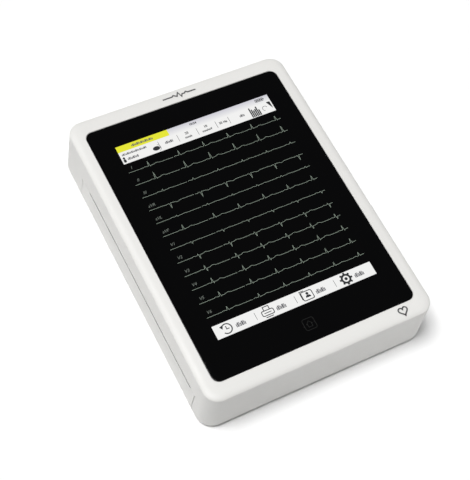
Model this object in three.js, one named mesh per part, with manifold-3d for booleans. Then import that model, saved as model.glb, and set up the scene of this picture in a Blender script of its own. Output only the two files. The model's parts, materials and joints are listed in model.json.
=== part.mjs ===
// A tablet-shaped twelve-lead ECG recorder: a pale moulded case with a full-face cover glass over a
// 10.4 inch portrait display, and a paper drawer for Z-fold thermal paper that slides out of its
// left side. Millimetres, +Z up. The origin is the middle of the footprint, on the plane that the
// feet stand on. +X is to the reader's right and +Y points to the top of the screen.
import * as THREE from "three";
import { mergeVertices } from "three/addons/utils/BufferGeometryUtils.js";
import Module from "manifold-3d";

const wasm = await Module();
wasm.setup();

// ---- Driving dimensions -------------------------------------------------------------------------

const GAP = 0.3; // clearance between parts that only sit beside each other
const FIT = 0.25; // clearance round parts that drop into a seat
const HAIRLINE = 0.05; // between faces that are fastened together
const OVERSHOOT = 1; // how far a cutter reaches past the face that it opens
const BASE_Z = 1.5; // underside of the case, above the feet
const TOP_Z = 58.4; // top of the rim round the glass
const GLASS_TOP_Z = 58;

// Outer form of the case: half sizes at the shoulder, which flare towards the base.
const HALF_WIDTH = 112;
const HALF_LENGTH = 150.5;
const FLARE = 1.9;
const CORNER_RADIUS = 14;
const SHOULDER_IN = 8; // the domed shoulder's run inwards
const SHOULDER_DOWN = 3.4; // and its drop
const BASE_FILLET = 4;
const WALL = 2.6;
const SPLIT_Z = 4.2; // the upper and lower housings meet here, below the widest line
const FLOOR_Z = 4; // inner face of the lower housing's plate
const CEILING_Z = 52.8; // underside of the front panel
const SHOULDER_Z = TOP_Z - SHOULDER_DOWN;
const FILLET_Z = BASE_Z + BASE_FILLET;
const RIM = { z1: 7, thickness: 1.5 }; // the base's upstand inside the walls

// Spans that cross the whole case or one of its walls, for cutters.
const EVERYWHERE = [-200, 200];
const ABOVE = 80;
const LEFT_WALL = [-120, -105];
const RIGHT_WALL = [100, 120];
const REAR_WALL = [140, 160];
const LENGTHWAYS = [-140, 110];

// Front glass and the display behind it.
const GLASS = { halfWidth: 99.6, halfLength: 134.7, radius: 7, thickness: 2 };
const MOUTH_CHAMFER = 0.6; // round the recess that the glass lies in
const GROUND_EDGE = 0.3; // the bevel round the glass
const LEDGE_Z = 55.2; // the step that carries the glass and its gasket
const GASKET = { z0: 55.25, z1: 55.95, inset: 1, lap: 4 };
const DISPLAY = { y: 5.4, halfWidth: 79.2, halfLength: 105.6 }; // 158.4 x 211.2 active area
const MODULE = { halfWidth: 88, halfLength: 113, z0: 49.9, z1: 55.9, frame: 3, lip: 0.5, pocket: 2 };
const WINDOW = { margin: 1.5, radius: 3 }; // the opening in the front panel for the display
const MID_FRAME = { halfWidth: 94, y0: -112, y1: 122, z0: 48.2, z1: 49.6 };
const SPACER = { x: [-58, 86], y: [-90, 20], z0: 43.8, radius: 2.5 };
const STAKE = { x: 97, y: [-95, 105], shoulder: 3.4, pin: 1.5, hole: 1.8, ear: 5 };
const FLEX = { x0: -40, x1: -20, y0: -20, y1: 8, thickness: 0.3 };

// Paper drawer in the left side. The drawer slides towards -X.
const DRAWER = { y0: -128.6, y1: 107.6, topZ: 30.4, lipX: -106 };
const SEAM = 0.3;
const SLOT = { y0: -120.3, y1: 89.9, below: 0.2, above: 0.9, lip: 0.2, ramp: 7 }; // for 210 mm paper
const PAPER = { width: 210, fold: 140, stack: 8.5 };
const TEAR_BAR = { x: -109.95, z0: 31.9, z1: 35.8, tooth: 0.4, count: 60, thickness: 0.5 };
const TRAY = { x0: -96, x1: 48.5, y0: -123, y1: 92.5, z0: 4.8, z1: 22, wall: 2, floor: 1.6 };
const CHEEK_TOP_Z = 28.6;
const LATCH_Y = -20;
const FINGER = { x0: -110.6, x1: -98.6, y0: -46, y1: 14, roofZ: 12.4, wall: 1.3 };
const RAIL = { depth: 4.5, z0: 4.3, z1: 10, tongue: 1.6, tongueZ0: 6.4, tongueZ1: 8 };

// Printer mechanism.
const PLATEN = { x: -102.5, z: 22.9, radius: 7.5, shaft: 2.5 };
const BUSH = { radius: 3.9, halfLength: 1.3 };
const GEAR = { module: 0.6, y0: 95, y1: 101, backlash: 0.14, pressure: THREE.MathUtils.degToRad(20) };
const TEETH = { platen: 20, idler: 30, pinion: 16 };
const IDLER_X = PLATEN.x + (GEAR.module * (TEETH.platen + TEETH.idler)) / 2;
const PINION_X = IDLER_X + (GEAR.module * (TEETH.idler + TEETH.pinion)) / 2;
const CHASSIS = { y0: -129.8, y1: 103.5, sheet: 1.2, deckZ: 34, x0: -79, x1: 50 };
const HEAD = { x0: -108.6, x1: -95, y0: -121.5, y1: 91, z0: 31, z1: 32.8, sinkZ: 35.6 };
const HEAD_PIVOT = { x: -84.5, z: 34.2, radius: 1.5 };
const CROSSBAR_Z = 44;
const MOTOR = { radius: 17.5, length: 22, ear: 22, flange: 1.2 };
const SPRING = { x: -102, y: [-70, 40], radius: 3.4, wire: 0.45, turns: 5 };
const LIGHTENING = { radius: 12 }; // round holes in the pressed sheets
const IDLER_PIN_RADIUS = 1.9;
const MOTOR_SHAFT_RADIUS = 1.4;

// Ports, buttons and fasteners.
const PATIENT = { y: 88, z: 31, pinPitch: 2.77, rowSpacing: 2.84 }; // a fifteen-pin D connector
const PORT_BOARD = { x: [14, 97], y: [116, 146], z: [24, 25.6] };
const PORT_X = { usb_port_1: 24, usb_port_2: 44, lan_port: 66, dc_inlet: 88 };
const PORT_CLEARANCE = { side: 0.6, below: 0.2, above: 1 };
const USB = { halfWidth: 6.6, height: 6.4, depth: 14 };
const LAN = { halfWidth: 7.9, height: 13.4, depth: 16 };
const DC = { halfWidth: 4.4, height: 10.6, depth: 13, axisZ: 5.85, barrel: 4.2, bore: 3.1, pin: 1 };
const BUTTON = { y: -96, z: 36, radius: 5.2, faceX: 113.5, collar: 1.4 };
const CORNER_SCREW = { x: 102.5, y: 140.5 };
const MIDDLE_SCREW_Y = 142;
const BOSS = { radius: 4, z0: 9, pilot: 1.6, pilotZ: [8, 28] };
const POST = { radius: 4, z1: 8.7, counterbore: 3.3, shelfZ: 5, hole: 1.9 };
const CASE_SCREW = { headRadius: 2.8, headHeight: 1.8, shankRadius: 1.4, length: 20, z: 3 };
const FOOT = { x: 92, y: 130, radius: 7, height: 2.9 };
const LABEL = { x: -20, y: -37.5, halfWidth: 40, halfLength: 22.5, seat: 0.3 };
const BATTERY = { x0: 56, x1: 106, y0: -118, y1: 22, z1: 26, wall: 1.8, rebate: 1.4, lid: 1.7 };
const BATTERY_TAB = { x0: 75, x1: 87, y1: 34, screwX: 81, screwY: 28.5, postRadius: 3.6, postZ: 11 };
const COVER_SCREW = { headRadius: 2.7, headHeight: 0.9, shankRadius: 1.2, length: 7 };
const GRIP = { x: [68, 94], y: -104, pitch: 5, count: 5, halfWidth: 1, depth: 0.6 };
const CELL = { x: [71, 91], y: [-82, -14.5], z: 15.6, radius: 9.2, halfLength: 33 };
const SPEAKER = { x: 80, y: 88, radius: 18, rim: 2.5, z: [4.4, 7], magnetZ: 13 };
const GRILLE = { count: 7, pitch: 4.4, halfWidth: 1.1, halfLength: 13 };
const VENTS = { count: 11, pitch: 6, halfWidth: 1.2, halfLength: 6, y: 126 };

// ---- Materials ----------------------------------------------------------------------------------

const material = (color, roughness, metalness = 0) =>
  new THREE.MeshStandardMaterial({ color, roughness, metalness });
const finish = {
  case: material(0xe6e6e2, 0.45),
  glass: material(0x060607, 0.08),
  dark: material(0x26272a, 0.6),
  rubber: material(0x2b2b2c, 0.85),
  steel: material(0xb8bcc0, 0.3, 1),
  aluminium: material(0xc9cccf, 0.4, 1),
  board: material(0x1f5a3c, 0.6),
  paper: material(0xf6e9e6, 0.8),
  gear: material(0xf2efe4, 0.5),
  cell: material(0x3a4a66, 0.5),
  label: material(0xc4c6c6, 0.6),
  gold: material(0xcaa64b, 0.35, 1),
};

// ---- Geometry helpers ---------------------------------------------------------------------------

/** A closed geometry as a manifold-3d solid. */
function solidOf(geometry) {
  const bare = geometry.index ? geometry.toNonIndexed() : geometry.clone();
  bare.deleteAttribute("normal");
  bare.deleteAttribute("uv");
  const merged = mergeVertices(bare, 1e-4);
  return new wasm.Manifold(
    new wasm.Mesh({
      numProp: 3,
      vertProperties: merged.attributes.position.array,
      triVerts: new Uint32Array(merged.index.array),
    }),
  );
}

/** A manifold-3d solid as a three.js geometry. */
function geometryOf(solid) {
  const mesh = solid.getMesh();
  return new THREE.BufferGeometry()
    .setAttribute("position", new THREE.BufferAttribute(Float32Array.from(mesh.vertProperties), 3))
    .setIndex(new THREE.BufferAttribute(Uint32Array.from(mesh.triVerts), 1));
}

const joined = (...geometries) => geometries.map(solidOf).reduce((a, b) => a.add(b));
const cut = (solid, ...tools) => tools.reduce((body, tool) => body.subtract(solidOf(tool)), solid);

/** A box from its limits along x, y and z. */
const block = ([x0, x1], [y0, y1], [z0, z1]) =>
  new THREE.BoxGeometry(x1 - x0, y1 - y0, z1 - z0).translate(
    (x0 + x1) / 2,
    (y0 + y1) / 2,
    (z0 + z1) / 2,
  );

/** A cylinder along an axis, from one coordinate to another on it, about a point of the other two. */
function rod(axis, radius, [from, to], [u, v], sides = 20) {
  const geometry = new THREE.CylinderGeometry(radius, radius, to - from, sides);
  const middle = (from + to) / 2;
  if (axis === "x") return geometry.rotateZ(Math.PI / 2).translate(middle, u, v);
  if (axis === "y") return geometry.translate(u, middle, v);
  return geometry.rotateX(Math.PI / 2).translate(u, v, middle);
}

/** A solid through rounded rectangles { z, halfWidth, halfLength, radius }, listed from low to high. */
function loft(levels, cornerSteps = 5) {
  const points = [];
  const faces = [];
  const around = 4 * (cornerSteps + 1);
  for (const { z, halfWidth, halfLength, radius } of levels) {
    for (let i = 0; i < around; i++) {
      const corner = Math.floor(i / (cornerSteps + 1));
      const angle = ((corner + (i % (cornerSteps + 1)) / cornerSteps) * Math.PI) / 2;
      const sideX = corner === 0 || corner === 3 ? 1 : -1;
      const sideY = corner < 2 ? 1 : -1;
      points.push(
        sideX * (halfWidth - radius) + radius * Math.cos(angle),
        sideY * (halfLength - radius) + radius * Math.sin(angle),
        z,
      );
    }
  }
  const top = levels.length - 1;
  for (let k = 0; k < top; k++)
    for (let i = 0; i < around; i++) {
      const a = k * around + i;
      const b = k * around + ((i + 1) % around);
      faces.push(a, b, b + around, a, b + around, a + around);
    }
  const centre = (z) => points.push(0, 0, z) / 3 - 1;
  const low = centre(levels[0].z);
  const high = centre(levels[top].z);
  for (let i = 0; i < around; i++) {
    const next = (i + 1) % around;
    faces.push(low, next, i, high, top * around + i, top * around + next);
  }
  return new THREE.BufferGeometry()
    .setAttribute("position", new THREE.Float32BufferAttribute(points, 3))
    .setIndex(faces);
}

/** A plate with round corners between two heights. */
const plate = (halfWidth, halfLength, radius, [z0, z1], steps = 5) =>
  loft([z0, z1].map((z) => ({ z, halfWidth, halfLength, radius })), steps);

/** A solid with an outline in x and z, listed anticlockwise, between two places along y. */
function ribbon(outline, [y0, y1]) {
  const shape = new THREE.Shape();
  outline.forEach(([x, z], i) => (i ? shape.lineTo(x, z) : shape.moveTo(x, z)));
  shape.closePath();
  return new THREE.ExtrudeGeometry(shape, { depth: y1 - y0, bevelEnabled: false })
    .rotateX(Math.PI / 2)
    .translate(0, y1, 0);
}

/** The outline of the case's wall at a height, moved inwards by an inset. */
function wallAt(z, inset = 0) {
  const grow = (FLARE * (SHOULDER_Z - z)) / (SHOULDER_Z - FILLET_Z);
  return {
    z,
    halfWidth: HALF_WIDTH + grow - inset,
    halfLength: HALF_LENGTH + grow - inset,
    radius: CORNER_RADIUS + grow - inset,
  };
}

/** The whole outer form of the case: base fillet, flared wall and rounded shoulder. */
function caseForm() {
  const shrink = (level, inset, z) => ({
    z,
    halfWidth: level.halfWidth - inset,
    halfLength: level.halfLength - inset,
    radius: level.radius - inset,
  });
  const levels = [];
  const steps = 5;
  for (let i = 0; i <= steps; i++) {
    const turn = (i / steps) * (Math.PI / 2);
    const z = FILLET_Z - BASE_FILLET * Math.cos(turn);
    levels.push(shrink(wallAt(FILLET_Z), BASE_FILLET * (1 - Math.sin(turn)), z));
  }
  for (let i = 0; i <= steps; i++) {
    const turn = (i / steps) * (Math.PI / 2);
    const z = SHOULDER_Z + SHOULDER_DOWN * Math.sin(turn);
    levels.push(shrink(wallAt(SHOULDER_Z), SHOULDER_IN * (1 - Math.cos(turn)), z));
  }
  return loft(levels);
}

/** An involute spur gear about the Y axis, centred on its own axis, with a round bore. */
function gear(teeth, bore, turn) {
  const { module, y0, y1, backlash, pressure } = GEAR;
  const pitch = (teeth * module) / 2;
  const base = pitch * Math.cos(pressure);
  const tip = pitch + 0.85 * module;
  const root = pitch - 1.15 * module;
  const involute = (angle) => Math.tan(angle) - angle;
  const halfAngle = (radius) =>
    Math.PI / (2 * teeth) -
    backlash / (2 * pitch) +
    involute(pressure) -
    involute(Math.acos(Math.min(1, base / radius)));
  const shape = new THREE.Shape();
  const flank = [root, pitch, tip];
  for (let tooth = 0; tooth < teeth; tooth++) {
    const middle = turn + (tooth / teeth) * 2 * Math.PI;
    const side = (radius, sign) => [radius, middle + sign * halfAngle(Math.max(radius, base))];
    const outline = [...flank.map((r) => side(r, -1)), ...[...flank].reverse().map((r) => side(r, 1))];
    outline.forEach(([radius, angle], i) => {
      const x = radius * Math.cos(angle);
      const y = radius * Math.sin(angle);
      if (tooth === 0 && i === 0) shape.moveTo(x, y);
      else shape.lineTo(x, y);
    });
  }
  shape.closePath();
  const hole = new THREE.Path();
  hole.absarc(0, 0, bore, 0, 2 * Math.PI, true);
  shape.holes.push(hole);
  // Extruded along +Z, then laid down so that the thickness runs along Y and the shape's x stays x.
  return new THREE.ExtrudeGeometry(shape, { depth: y1 - y0, bevelEnabled: false, curveSegments: 12 })
    .rotateX(Math.PI / 2)
    .translate(0, y1, 0);
}

/** A helical compression spring standing on z = 0. */
function spring({ radius, wire, turns }, height) {
  class Helix extends THREE.Curve {
    getPoint(t, target = new THREE.Vector3()) {
      const angle = t * turns * 2 * Math.PI;
      return target.set(radius * Math.cos(angle), radius * Math.sin(angle), wire + t * (height - 2 * wire));
    }
  }
  const section = new THREE.Shape();
  section.absarc(0, 0, wire, 0, 2 * Math.PI);
  return new THREE.ExtrudeGeometry(section, { steps: turns * 9, extrudePath: new Helix(), curveSegments: 3 });
}

/** A pan-head screw standing head down: the head's face is at z = 0 and the shank points up. */
function screw({ headRadius, headHeight, shankRadius, length }) {
  const body = joined(
    rod("z", headRadius, [0, headHeight], [0, 0], 14),
    rod("z", shankRadius, [headHeight - 0.2, length], [0, 0], 8),
  );
  return geometryOf(cut(body, rod("z", headRadius * 0.45, [-1, headHeight * 0.6], [0, 0], 6)));
}

// ---- Scene graph --------------------------------------------------------------------------------

const machine = new THREE.Group();
const housing = new THREE.Group();
const drawer = new THREE.Group();
const platen = new THREE.Group();
const printHead = new THREE.Group();
machine.add(housing, drawer, printHead);
drawer.add(platen);
platen.position.set(PLATEN.x, 0, PLATEN.z);

function add(group, name, shape, look, [x, y, z] = [0, 0, 0]) {
  const geometry = shape.isBufferGeometry ? shape : geometryOf(shape);
  const mesh = new THREE.Mesh(geometry, look);
  mesh.name = name;
  mesh.position.set(x, y, z);
  group.add(mesh);
  return mesh;
}

const screwPlaces = [
  ...[-1, 1].flatMap((sx) => [-1, 1].map((sy) => [sx * CORNER_SCREW.x, sy * CORNER_SCREW.y])),
  [0, -MIDDLE_SCREW_Y],
  [0, MIDDLE_SCREW_Y],
];
const footPlaces = [-1, 1].flatMap((sx) => [-1, 1].map((sy) => [sx * FOOT.x, sy * FOOT.y]));
const stakePlaces = [-1, 1].flatMap((side) => STAKE.y.map((y) => [side * STAKE.x, y]));
const centredAt = (middle, half) => [middle - half, middle + half];
const row = (count, pitch) => Array.from({ length: count }, (_, i) => (i - (count - 1) / 2) * pitch);

/** The room that the drawer's front takes in the case, with its seam and the slot for the paper. */
function drawerRoom() {
  return [
    block(LEFT_WALL, [DRAWER.y0, DRAWER.y1], [0, DRAWER.topZ]),
    block(LEFT_WALL, [SLOT.y0, SLOT.y1], [0, DRAWER.topZ + SLOT.above]),
  ];
}

// ---- Case ---------------------------------------------------------------------------------------

/** The step in the front panel that the glass lies in, with a small chamfer round its mouth. */
function glassRecess() {
  const level = (z, grow) => ({
    z,
    halfWidth: GLASS.halfWidth + FIT + grow,
    halfLength: GLASS.halfLength + FIT + grow,
    radius: GLASS.radius + FIT + grow,
  });
  return loft([level(LEDGE_Z, 0), level(GLASS_TOP_Z - 0.1, 0), level(TOP_Z + 0.1, MOUTH_CHAMFER)]);
}

/** The openings in the right and rear walls for the sockets and the button. */
function portOpenings() {
  const { side, below, above } = PORT_CLEARANCE;
  const boardTop = PORT_BOARD.z[1];
  const opening = (name, { halfWidth, height }) => {
    const rise = [boardTop - below, boardTop + height + above];
    return block(centredAt(PORT_X[name], halfWidth + side), REAR_WALL, rise);
  };
  return [
    block(RIGHT_WALL, centredAt(PATIENT.y, 20.4), centredAt(PATIENT.z, 7)),
    rod("x", BUTTON.radius + GAP, RIGHT_WALL, [BUTTON.y, BUTTON.z], 24),
    opening("usb_port_1", USB),
    opening("usb_port_2", USB),
    opening("lan_port", LAN),
    rod("y", DC.barrel + 0.4, REAR_WALL, [PORT_X.dc_inlet, boardTop + HAIRLINE + DC.axisZ], 20),
  ];
}

function upperHousing() {
  const bosses = screwPlaces.map(([x, y]) => rod("z", BOSS.radius, [BOSS.z0, CEILING_Z + 1], [x, y], 14));
  const stakes = stakePlaces.flatMap(([x, y]) => [
    rod("z", STAKE.shoulder, [MID_FRAME.z1 + HAIRLINE, CEILING_Z + 1], [x, y], 14),
    rod("z", STAKE.pin, [MID_FRAME.z0 - 0.8, CEILING_Z], [x, y], 12),
  ]);
  const pilots = screwPlaces.map(([x, y]) => rod("z", BOSS.pilot, BOSS.pilotZ, [x, y], 10));
  const window = plate(
    MODULE.halfWidth + WINDOW.margin,
    MODULE.halfLength + WINDOW.margin,
    WINDOW.radius,
    [CEILING_Z - OVERSHOOT, TOP_Z],
  ).translate(0, DISPLAY.y, 0);
  const shell = cut(
    solidOf(caseForm()),
    block(EVERYWHERE, EVERYWHERE, [-OVERSHOOT, SPLIT_Z]),
    loft([wallAt(0, WALL), wallAt(CEILING_Z, WALL)]),
  );
  const solid = [...bosses, ...stakes].reduce((body, boss) => body.add(solidOf(boss)), shell);
  return cut(solid, glassRecess(), window, ...pilots, ...drawerRoom(), ...portOpenings());
}

/** Upright slots in the base: a grille under the loudspeaker and a row of cooling vents. */
function baseSlots() {
  const depth = [0, FLOOR_Z + OVERSHOOT];
  const slot = (x, y, { halfWidth, halfLength }) =>
    block(centredAt(x, halfWidth), centredAt(y, halfLength), depth);
  return [
    ...row(GRILLE.count, GRILLE.pitch).map((x) => slot(SPEAKER.x + x, SPEAKER.y, GRILLE)),
    ...row(VENTS.count, VENTS.pitch).map((x) => slot(x, VENTS.y, VENTS)),
  ];
}

/** What the drawer's front and its finger pocket need cut from the base. */
function drawerClearance() {
  const height = [0, RIM.z1 + 5];
  const reach = FINGER.wall + GAP;
  const [outside] = LEFT_WALL;
  return [
    block([outside, DRAWER.lipX + GAP], [DRAWER.y0, DRAWER.y1], height),
    block([outside, -100], [DRAWER.y0 - 0.5, DRAWER.y1 + 0.5], [FLOOR_Z, height[1]]),
    block([outside, FINGER.x1 + reach], [FINGER.y0 - reach, FINGER.y1 + reach], height),
  ];
}

/** The battery's room, with a rebate and a tab seat for its cover and the hole for its screw. */
function batteryRoom() {
  const { x0, x1, y0, y1, z1, rebate, lid } = BATTERY;
  const seat = [0, BASE_Z + lid + 0.1];
  return [
    block([x0, x1], [y0, y1], [0, z1]),
    block([x0 - rebate, x1 + rebate], [y0 - rebate, y1 + rebate], seat),
    block([BATTERY_TAB.x0, BATTERY_TAB.x1], [y1, BATTERY_TAB.y1], seat),
    rod("z", COVER_SCREW.shankRadius + 0.2, [2, 10], [BATTERY_TAB.screwX, BATTERY_TAB.screwY], 10),
  ];
}

function lowerHousing() {
  const fromFloor = FLOOR_Z - OVERSHOOT;
  const edge = WALL + GAP;
  const base = cut(solidOf(caseForm()), block(EVERYWHERE, EVERYWHERE, [FLOOR_Z, ABOVE]));
  const rim = cut(
    solidOf(loft([wallAt(fromFloor, edge), wallAt(RIM.z1, edge)])),
    loft([wallAt(0, edge + RIM.thickness), wallAt(RIM.z1 + OVERSHOOT, edge + RIM.thickness)]),
  );
  const { x0, x1, y0, y1, z1, wall } = BATTERY;
  const bay = block([x0 - wall, x1 + wall], [y0 - wall, y1 + wall], [fromFloor, z1 + wall]);
  const { screwX, screwY, postRadius, postZ } = BATTERY_TAB;
  const posts = screwPlaces.map(([x, y]) => rod("z", POST.radius, [fromFloor, POST.z1], [x, y], 14));
  const tabPost = rod("z", postRadius, [fromFloor, postZ], [screwX, screwY], 14);
  const body = [bay, ...posts, tabPost].reduce((solid, piece) => solid.add(solidOf(piece)), base.add(rim));
  const screwHoles = screwPlaces.flatMap(([x, y]) => [
    rod("z", POST.counterbore, [0, POST.shelfZ], [x, y], 18),
    rod("z", POST.hole, [0, POST.z1 + OVERSHOOT], [x, y], 12),
  ]);
  const footSeats = footPlaces.map(([x, y]) => rod("z", FOOT.radius + FIT, [0, 3], [x, y], 20));
  const labelSeat = block(
    centredAt(LABEL.x, LABEL.halfWidth),
    centredAt(LABEL.y, LABEL.halfLength),
    [0, BASE_Z + LABEL.seat],
  );
  return cut(
    body,
    ...drawerClearance(),
    ...baseSlots(),
    ...batteryRoom(),
    ...screwHoles,
    ...footSeats,
    labelSeat,
  );
}

function batteryCover() {
  const { x0, x1, y0, y1, rebate, lid } = BATTERY;
  const { screwX, screwY } = BATTERY_TAB;
  const edge = rebate - FIT;
  const thickness = [BASE_Z, BASE_Z + lid];
  const cover = joined(
    block([x0 - edge, x1 + edge], [y0 - edge, y1 + edge], thickness),
    block([BATTERY_TAB.x0 + FIT, BATTERY_TAB.x1 - FIT], [y1, BATTERY_TAB.y1 - FIT], thickness),
  );
  const grooves = Array.from({ length: GRIP.count }, (_, i) =>
    block(GRIP.x, centredAt(GRIP.y + GRIP.pitch * i, GRIP.halfWidth), [0, BASE_Z + GRIP.depth]),
  );
  const dish = rod("z", COVER_SCREW.headRadius + GAP, [0, BASE_Z + 1], [screwX, screwY], 16);
  const hole = rod("z", COVER_SCREW.shankRadius + 0.4, [0, 6], [screwX, screwY], 10);
  return cut(cover, ...grooves, dish, hole);
}

add(housing, "upper_housing", upperHousing(), finish.case);
add(housing, "lower_housing", lowerHousing(), finish.case);
add(housing, "battery_cover", batteryCover(), finish.case);
add(housing, "battery_cover_screw", screw(COVER_SCREW), finish.steel, [
  BATTERY_TAB.screwX,
  BATTERY_TAB.screwY,
  BASE_Z + HAIRLINE,
]);
screwPlaces.forEach(([x, y], i) =>
  add(housing, `case_screw_${i + 1}`, screw(CASE_SCREW), finish.steel, [x, y, CASE_SCREW.z]),
);
footPlaces.forEach(([x, y], i) =>
  add(housing, `foot_${i + 1}`, rod("z", FOOT.radius, [0, FOOT.height], [0, 0]), finish.rubber, [x, y, 0]),
);
add(
  housing,
  "rating_plate",
  plate(LABEL.halfWidth - 0.4, LABEL.halfLength - 0.4, 2, [0, LABEL.seat - HAIRLINE]),
  finish.label,
  [LABEL.x, LABEL.y, BASE_Z],
);

// ---- Glass and display --------------------------------------------------------------------------

function coverGlass() {
  const { halfWidth, halfLength, radius, thickness } = GLASS;
  const level = (z, inset) => ({
    z,
    halfWidth: halfWidth - inset,
    halfLength: halfLength - inset,
    radius: radius - inset,
  });
  const base = GLASS_TOP_Z - thickness;
  return loft([level(base, 0), level(GLASS_TOP_Z - GROUND_EDGE, 0), level(GLASS_TOP_Z, GROUND_EDGE)]);
}

/** A foam strip round the display that seals the glass to the front panel. */
function gasket() {
  const { z0, z1, inset, lap } = GASKET;
  const outer = plate(GLASS.halfWidth - inset, GLASS.halfLength - inset, GLASS.radius - inset, [z0, z1]);
  const opening = plate(MODULE.halfWidth + lap, MODULE.halfLength + lap, WINDOW.radius, [
    z0 - OVERSHOOT,
    z1 + OVERSHOOT,
  ]);
  return cut(solidOf(outer), opening.translate(0, DISPLAY.y, 0));
}

/** The display's folded metal can, with a pocket for its glass cell. */
function displayModule() {
  const { halfWidth, halfLength, z0, z1, frame, lip, pocket } = MODULE;
  const can = solidOf(block(centredAt(0, halfWidth), centredAt(0, halfLength), [z0, z1]));
  return cut(
    can,
    block(centredAt(0, halfWidth - frame), centredAt(0, halfLength - frame), [z1 - pocket, z1 - lip]),
    block(centredAt(0, DISPLAY.halfWidth + 1), centredAt(0, DISPLAY.halfLength + 1), [z1 - pocket, z1 + 1]),
  );
}

function displayCell() {
  const { halfWidth, halfLength, z1, frame, lip, pocket } = MODULE;
  const edge = frame + GAP;
  return block(centredAt(0, halfWidth - edge), centredAt(0, halfLength - edge), [
    z1 - pocket + 0.2,
    z1 - lip - 0.2,
  ]);
}

/** The steel sheet that stiffens the front and carries the main board on four spacers. */
function midFrame() {
  const { halfWidth, y0, y1, z0, z1 } = MID_FRAME;
  const sheet = [z0, z1];
  const through = [z0 - OVERSHOOT, z1 + OVERSHOOT];
  const spacers = SPACER.x.flatMap((x) =>
    SPACER.y.map((y) => rod("z", SPACER.radius, [SPACER.z0, z0 + 0.1], [x, y], 12)),
  );
  const ears = stakePlaces.map(([x, y]) => block(centredAt(x, STAKE.ear), centredAt(y, STAKE.ear), sheet));
  const body = joined(block([-halfWidth, halfWidth], [y0, y1], sheet), ...ears, ...spacers);
  const holes = [-60, -20, 20, 60].flatMap((x) =>
    [55, 90].map((y) => rod("z", LIGHTENING.radius, through, [x, y], 16)),
  );
  return cut(
    body,
    block([FLEX.x0 - 4, FLEX.x1 + 2], [FLEX.y0 - 4, FLEX.y1 + 4], through),
    ...holes,
    ...stakePlaces.map(([x, y]) => rod("z", STAKE.hole, through, [x, y], 12)),
  );
}

add(housing, "cover_glass", coverGlass(), finish.glass);
add(housing, "glass_gasket", gasket(), finish.rubber);
add(housing, "display_module", displayModule(), finish.aluminium, [0, DISPLAY.y, 0]);
add(housing, "display_cell", displayCell(), finish.glass, [0, DISPLAY.y, 0]);
add(housing, "mid_frame", midFrame(), finish.steel);

// ---- Boards, battery and speaker ----------------------------------------------------------------

function mainBoard() {
  const underside = 42.1;
  const parts = [
    { x: [-20, 12], y: [-45, -13], z: 39.6 }, // processor
    { x: [22, 36], y: [-60, -46], z: 40.4 }, // memory
    { x: [22, 36], y: [-40, -26], z: 40.4 }, // memory
    { x: [50, 76], y: [-30, -8], z: 38 }, // power supply's choke
    { x: [-52, -30], y: [-84, -66], z: 39 }, // radio module
    { x: [-48, 20], y: [6, 14], z: 37.5 }, // header for the port board's cable
  ];
  return joined(
    block([-62, 90], [-94, 24], [underside - 0.1, underside + 1.5]),
    ...parts.map(({ x, y, z }) => block(x, y, [z, underside])),
  );
}

function batteryPack() {
  const cells = CELL.x.flatMap((x) =>
    CELL.y.map((y) => rod("y", CELL.radius, centredAt(y, CELL.halfLength), [x, CELL.z], 18)),
  );
  return joined(...cells, block([60, 102], [-115.5, 19.5], [5, 11]));
}

function speaker() {
  const { x, y, radius, rim, z, magnetZ } = SPEAKER;
  const body = joined(
    rod("z", radius, z, [x, y], 24),
    rod("z", radius * 0.6, [z[1] - 0.1, magnetZ], [x, y], 20),
  );
  return cut(body, rod("z", radius - rim, [z[0] - OVERSHOOT, z[1] - 1.4], [x, y], 24));
}

/** The display's ribbon: from the back of the can, down beside the mid frame and under the board. */
function displayFlex() {
  const { x0, x1, y0, y1, thickness } = FLEX;
  const canZ = MODULE.z0 - 0.2;
  const boardZ = 43.9;
  const bendX = (x0 + x1) / 2;
  const path = [
    [x0, canZ],
    [x0, canZ - thickness],
    [bendX, canZ - thickness],
    [bendX, boardZ],
    [x1, boardZ],
    [x1, boardZ + thickness],
    [bendX + thickness, boardZ + thickness],
    [bendX + thickness, canZ],
  ];
  return ribbon(path, [y0, y1]);
}

/** A can over the amplifier's inputs, open towards its board. */
function shieldCan() {
  const [x, y, z] = [[64, 90], [66, 108], [24.05, 31]];
  const sheet = 0.5;
  const walls = ([low, high], by) => [low + by, high - by];
  return cut(solidOf(block(x, y, z)), block(walls(x, 2), walls(y, 2), [z[0] - OVERSHOOT, z[1] - sheet]));
}

add(housing, "main_board", mainBoard(), finish.board);
add(housing, "display_flex_cable", displayFlex(), finish.gold);
add(housing, "ecg_board", block([62, 99], [62, 112], [22.4, 24]), finish.board);
add(housing, "ecg_shield_can", shieldCan(), finish.steel);
add(housing, "battery_pack", batteryPack(), finish.cell);
add(housing, "speaker", speaker(), finish.dark);
add(
  housing,
  "wireless_antenna",
  joined(block([-60, -16], [141, 141.8], [30, 40]), block([-42, -34], [139.4, 141.1], [33, 37])),
  finish.gold,
);

// ---- Ports and power button ---------------------------------------------------------------------

function patientConnector() {
  const inner = wallAt(PATIENT.z, WALL).halfWidth - 0.1;
  const flange = block([inner - 1.2, inner], centredAt(PATIENT.y, 19.6), centredAt(PATIENT.z, 6.2));
  const shell = block([inner - 1, inner + 2.2], centredAt(PATIENT.y, 12.4), centredAt(PATIENT.z, 4.1));
  const back = block([inner - 11, inner - 1], centredAt(PATIENT.y, 15), centredAt(PATIENT.z, 5.6));
  const lock = (side) => rod("x", 2.6, [inner - 1, inner + 2], [PATIENT.y + side * 16.65, PATIENT.z], 6);
  const body = joined(flange, shell, back, lock(-1), lock(1));
  const pins = [8, 7].flatMap((count, i) => {
    const z = PATIENT.z + (0.5 - i) * PATIENT.rowSpacing;
    return row(count, PATIENT.pinPitch).map((y) =>
      rod("x", 0.55, [inner - 3, inner + 3], [PATIENT.y + y, z], 6),
    );
  });
  return cut(body, ...pins);
}

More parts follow.
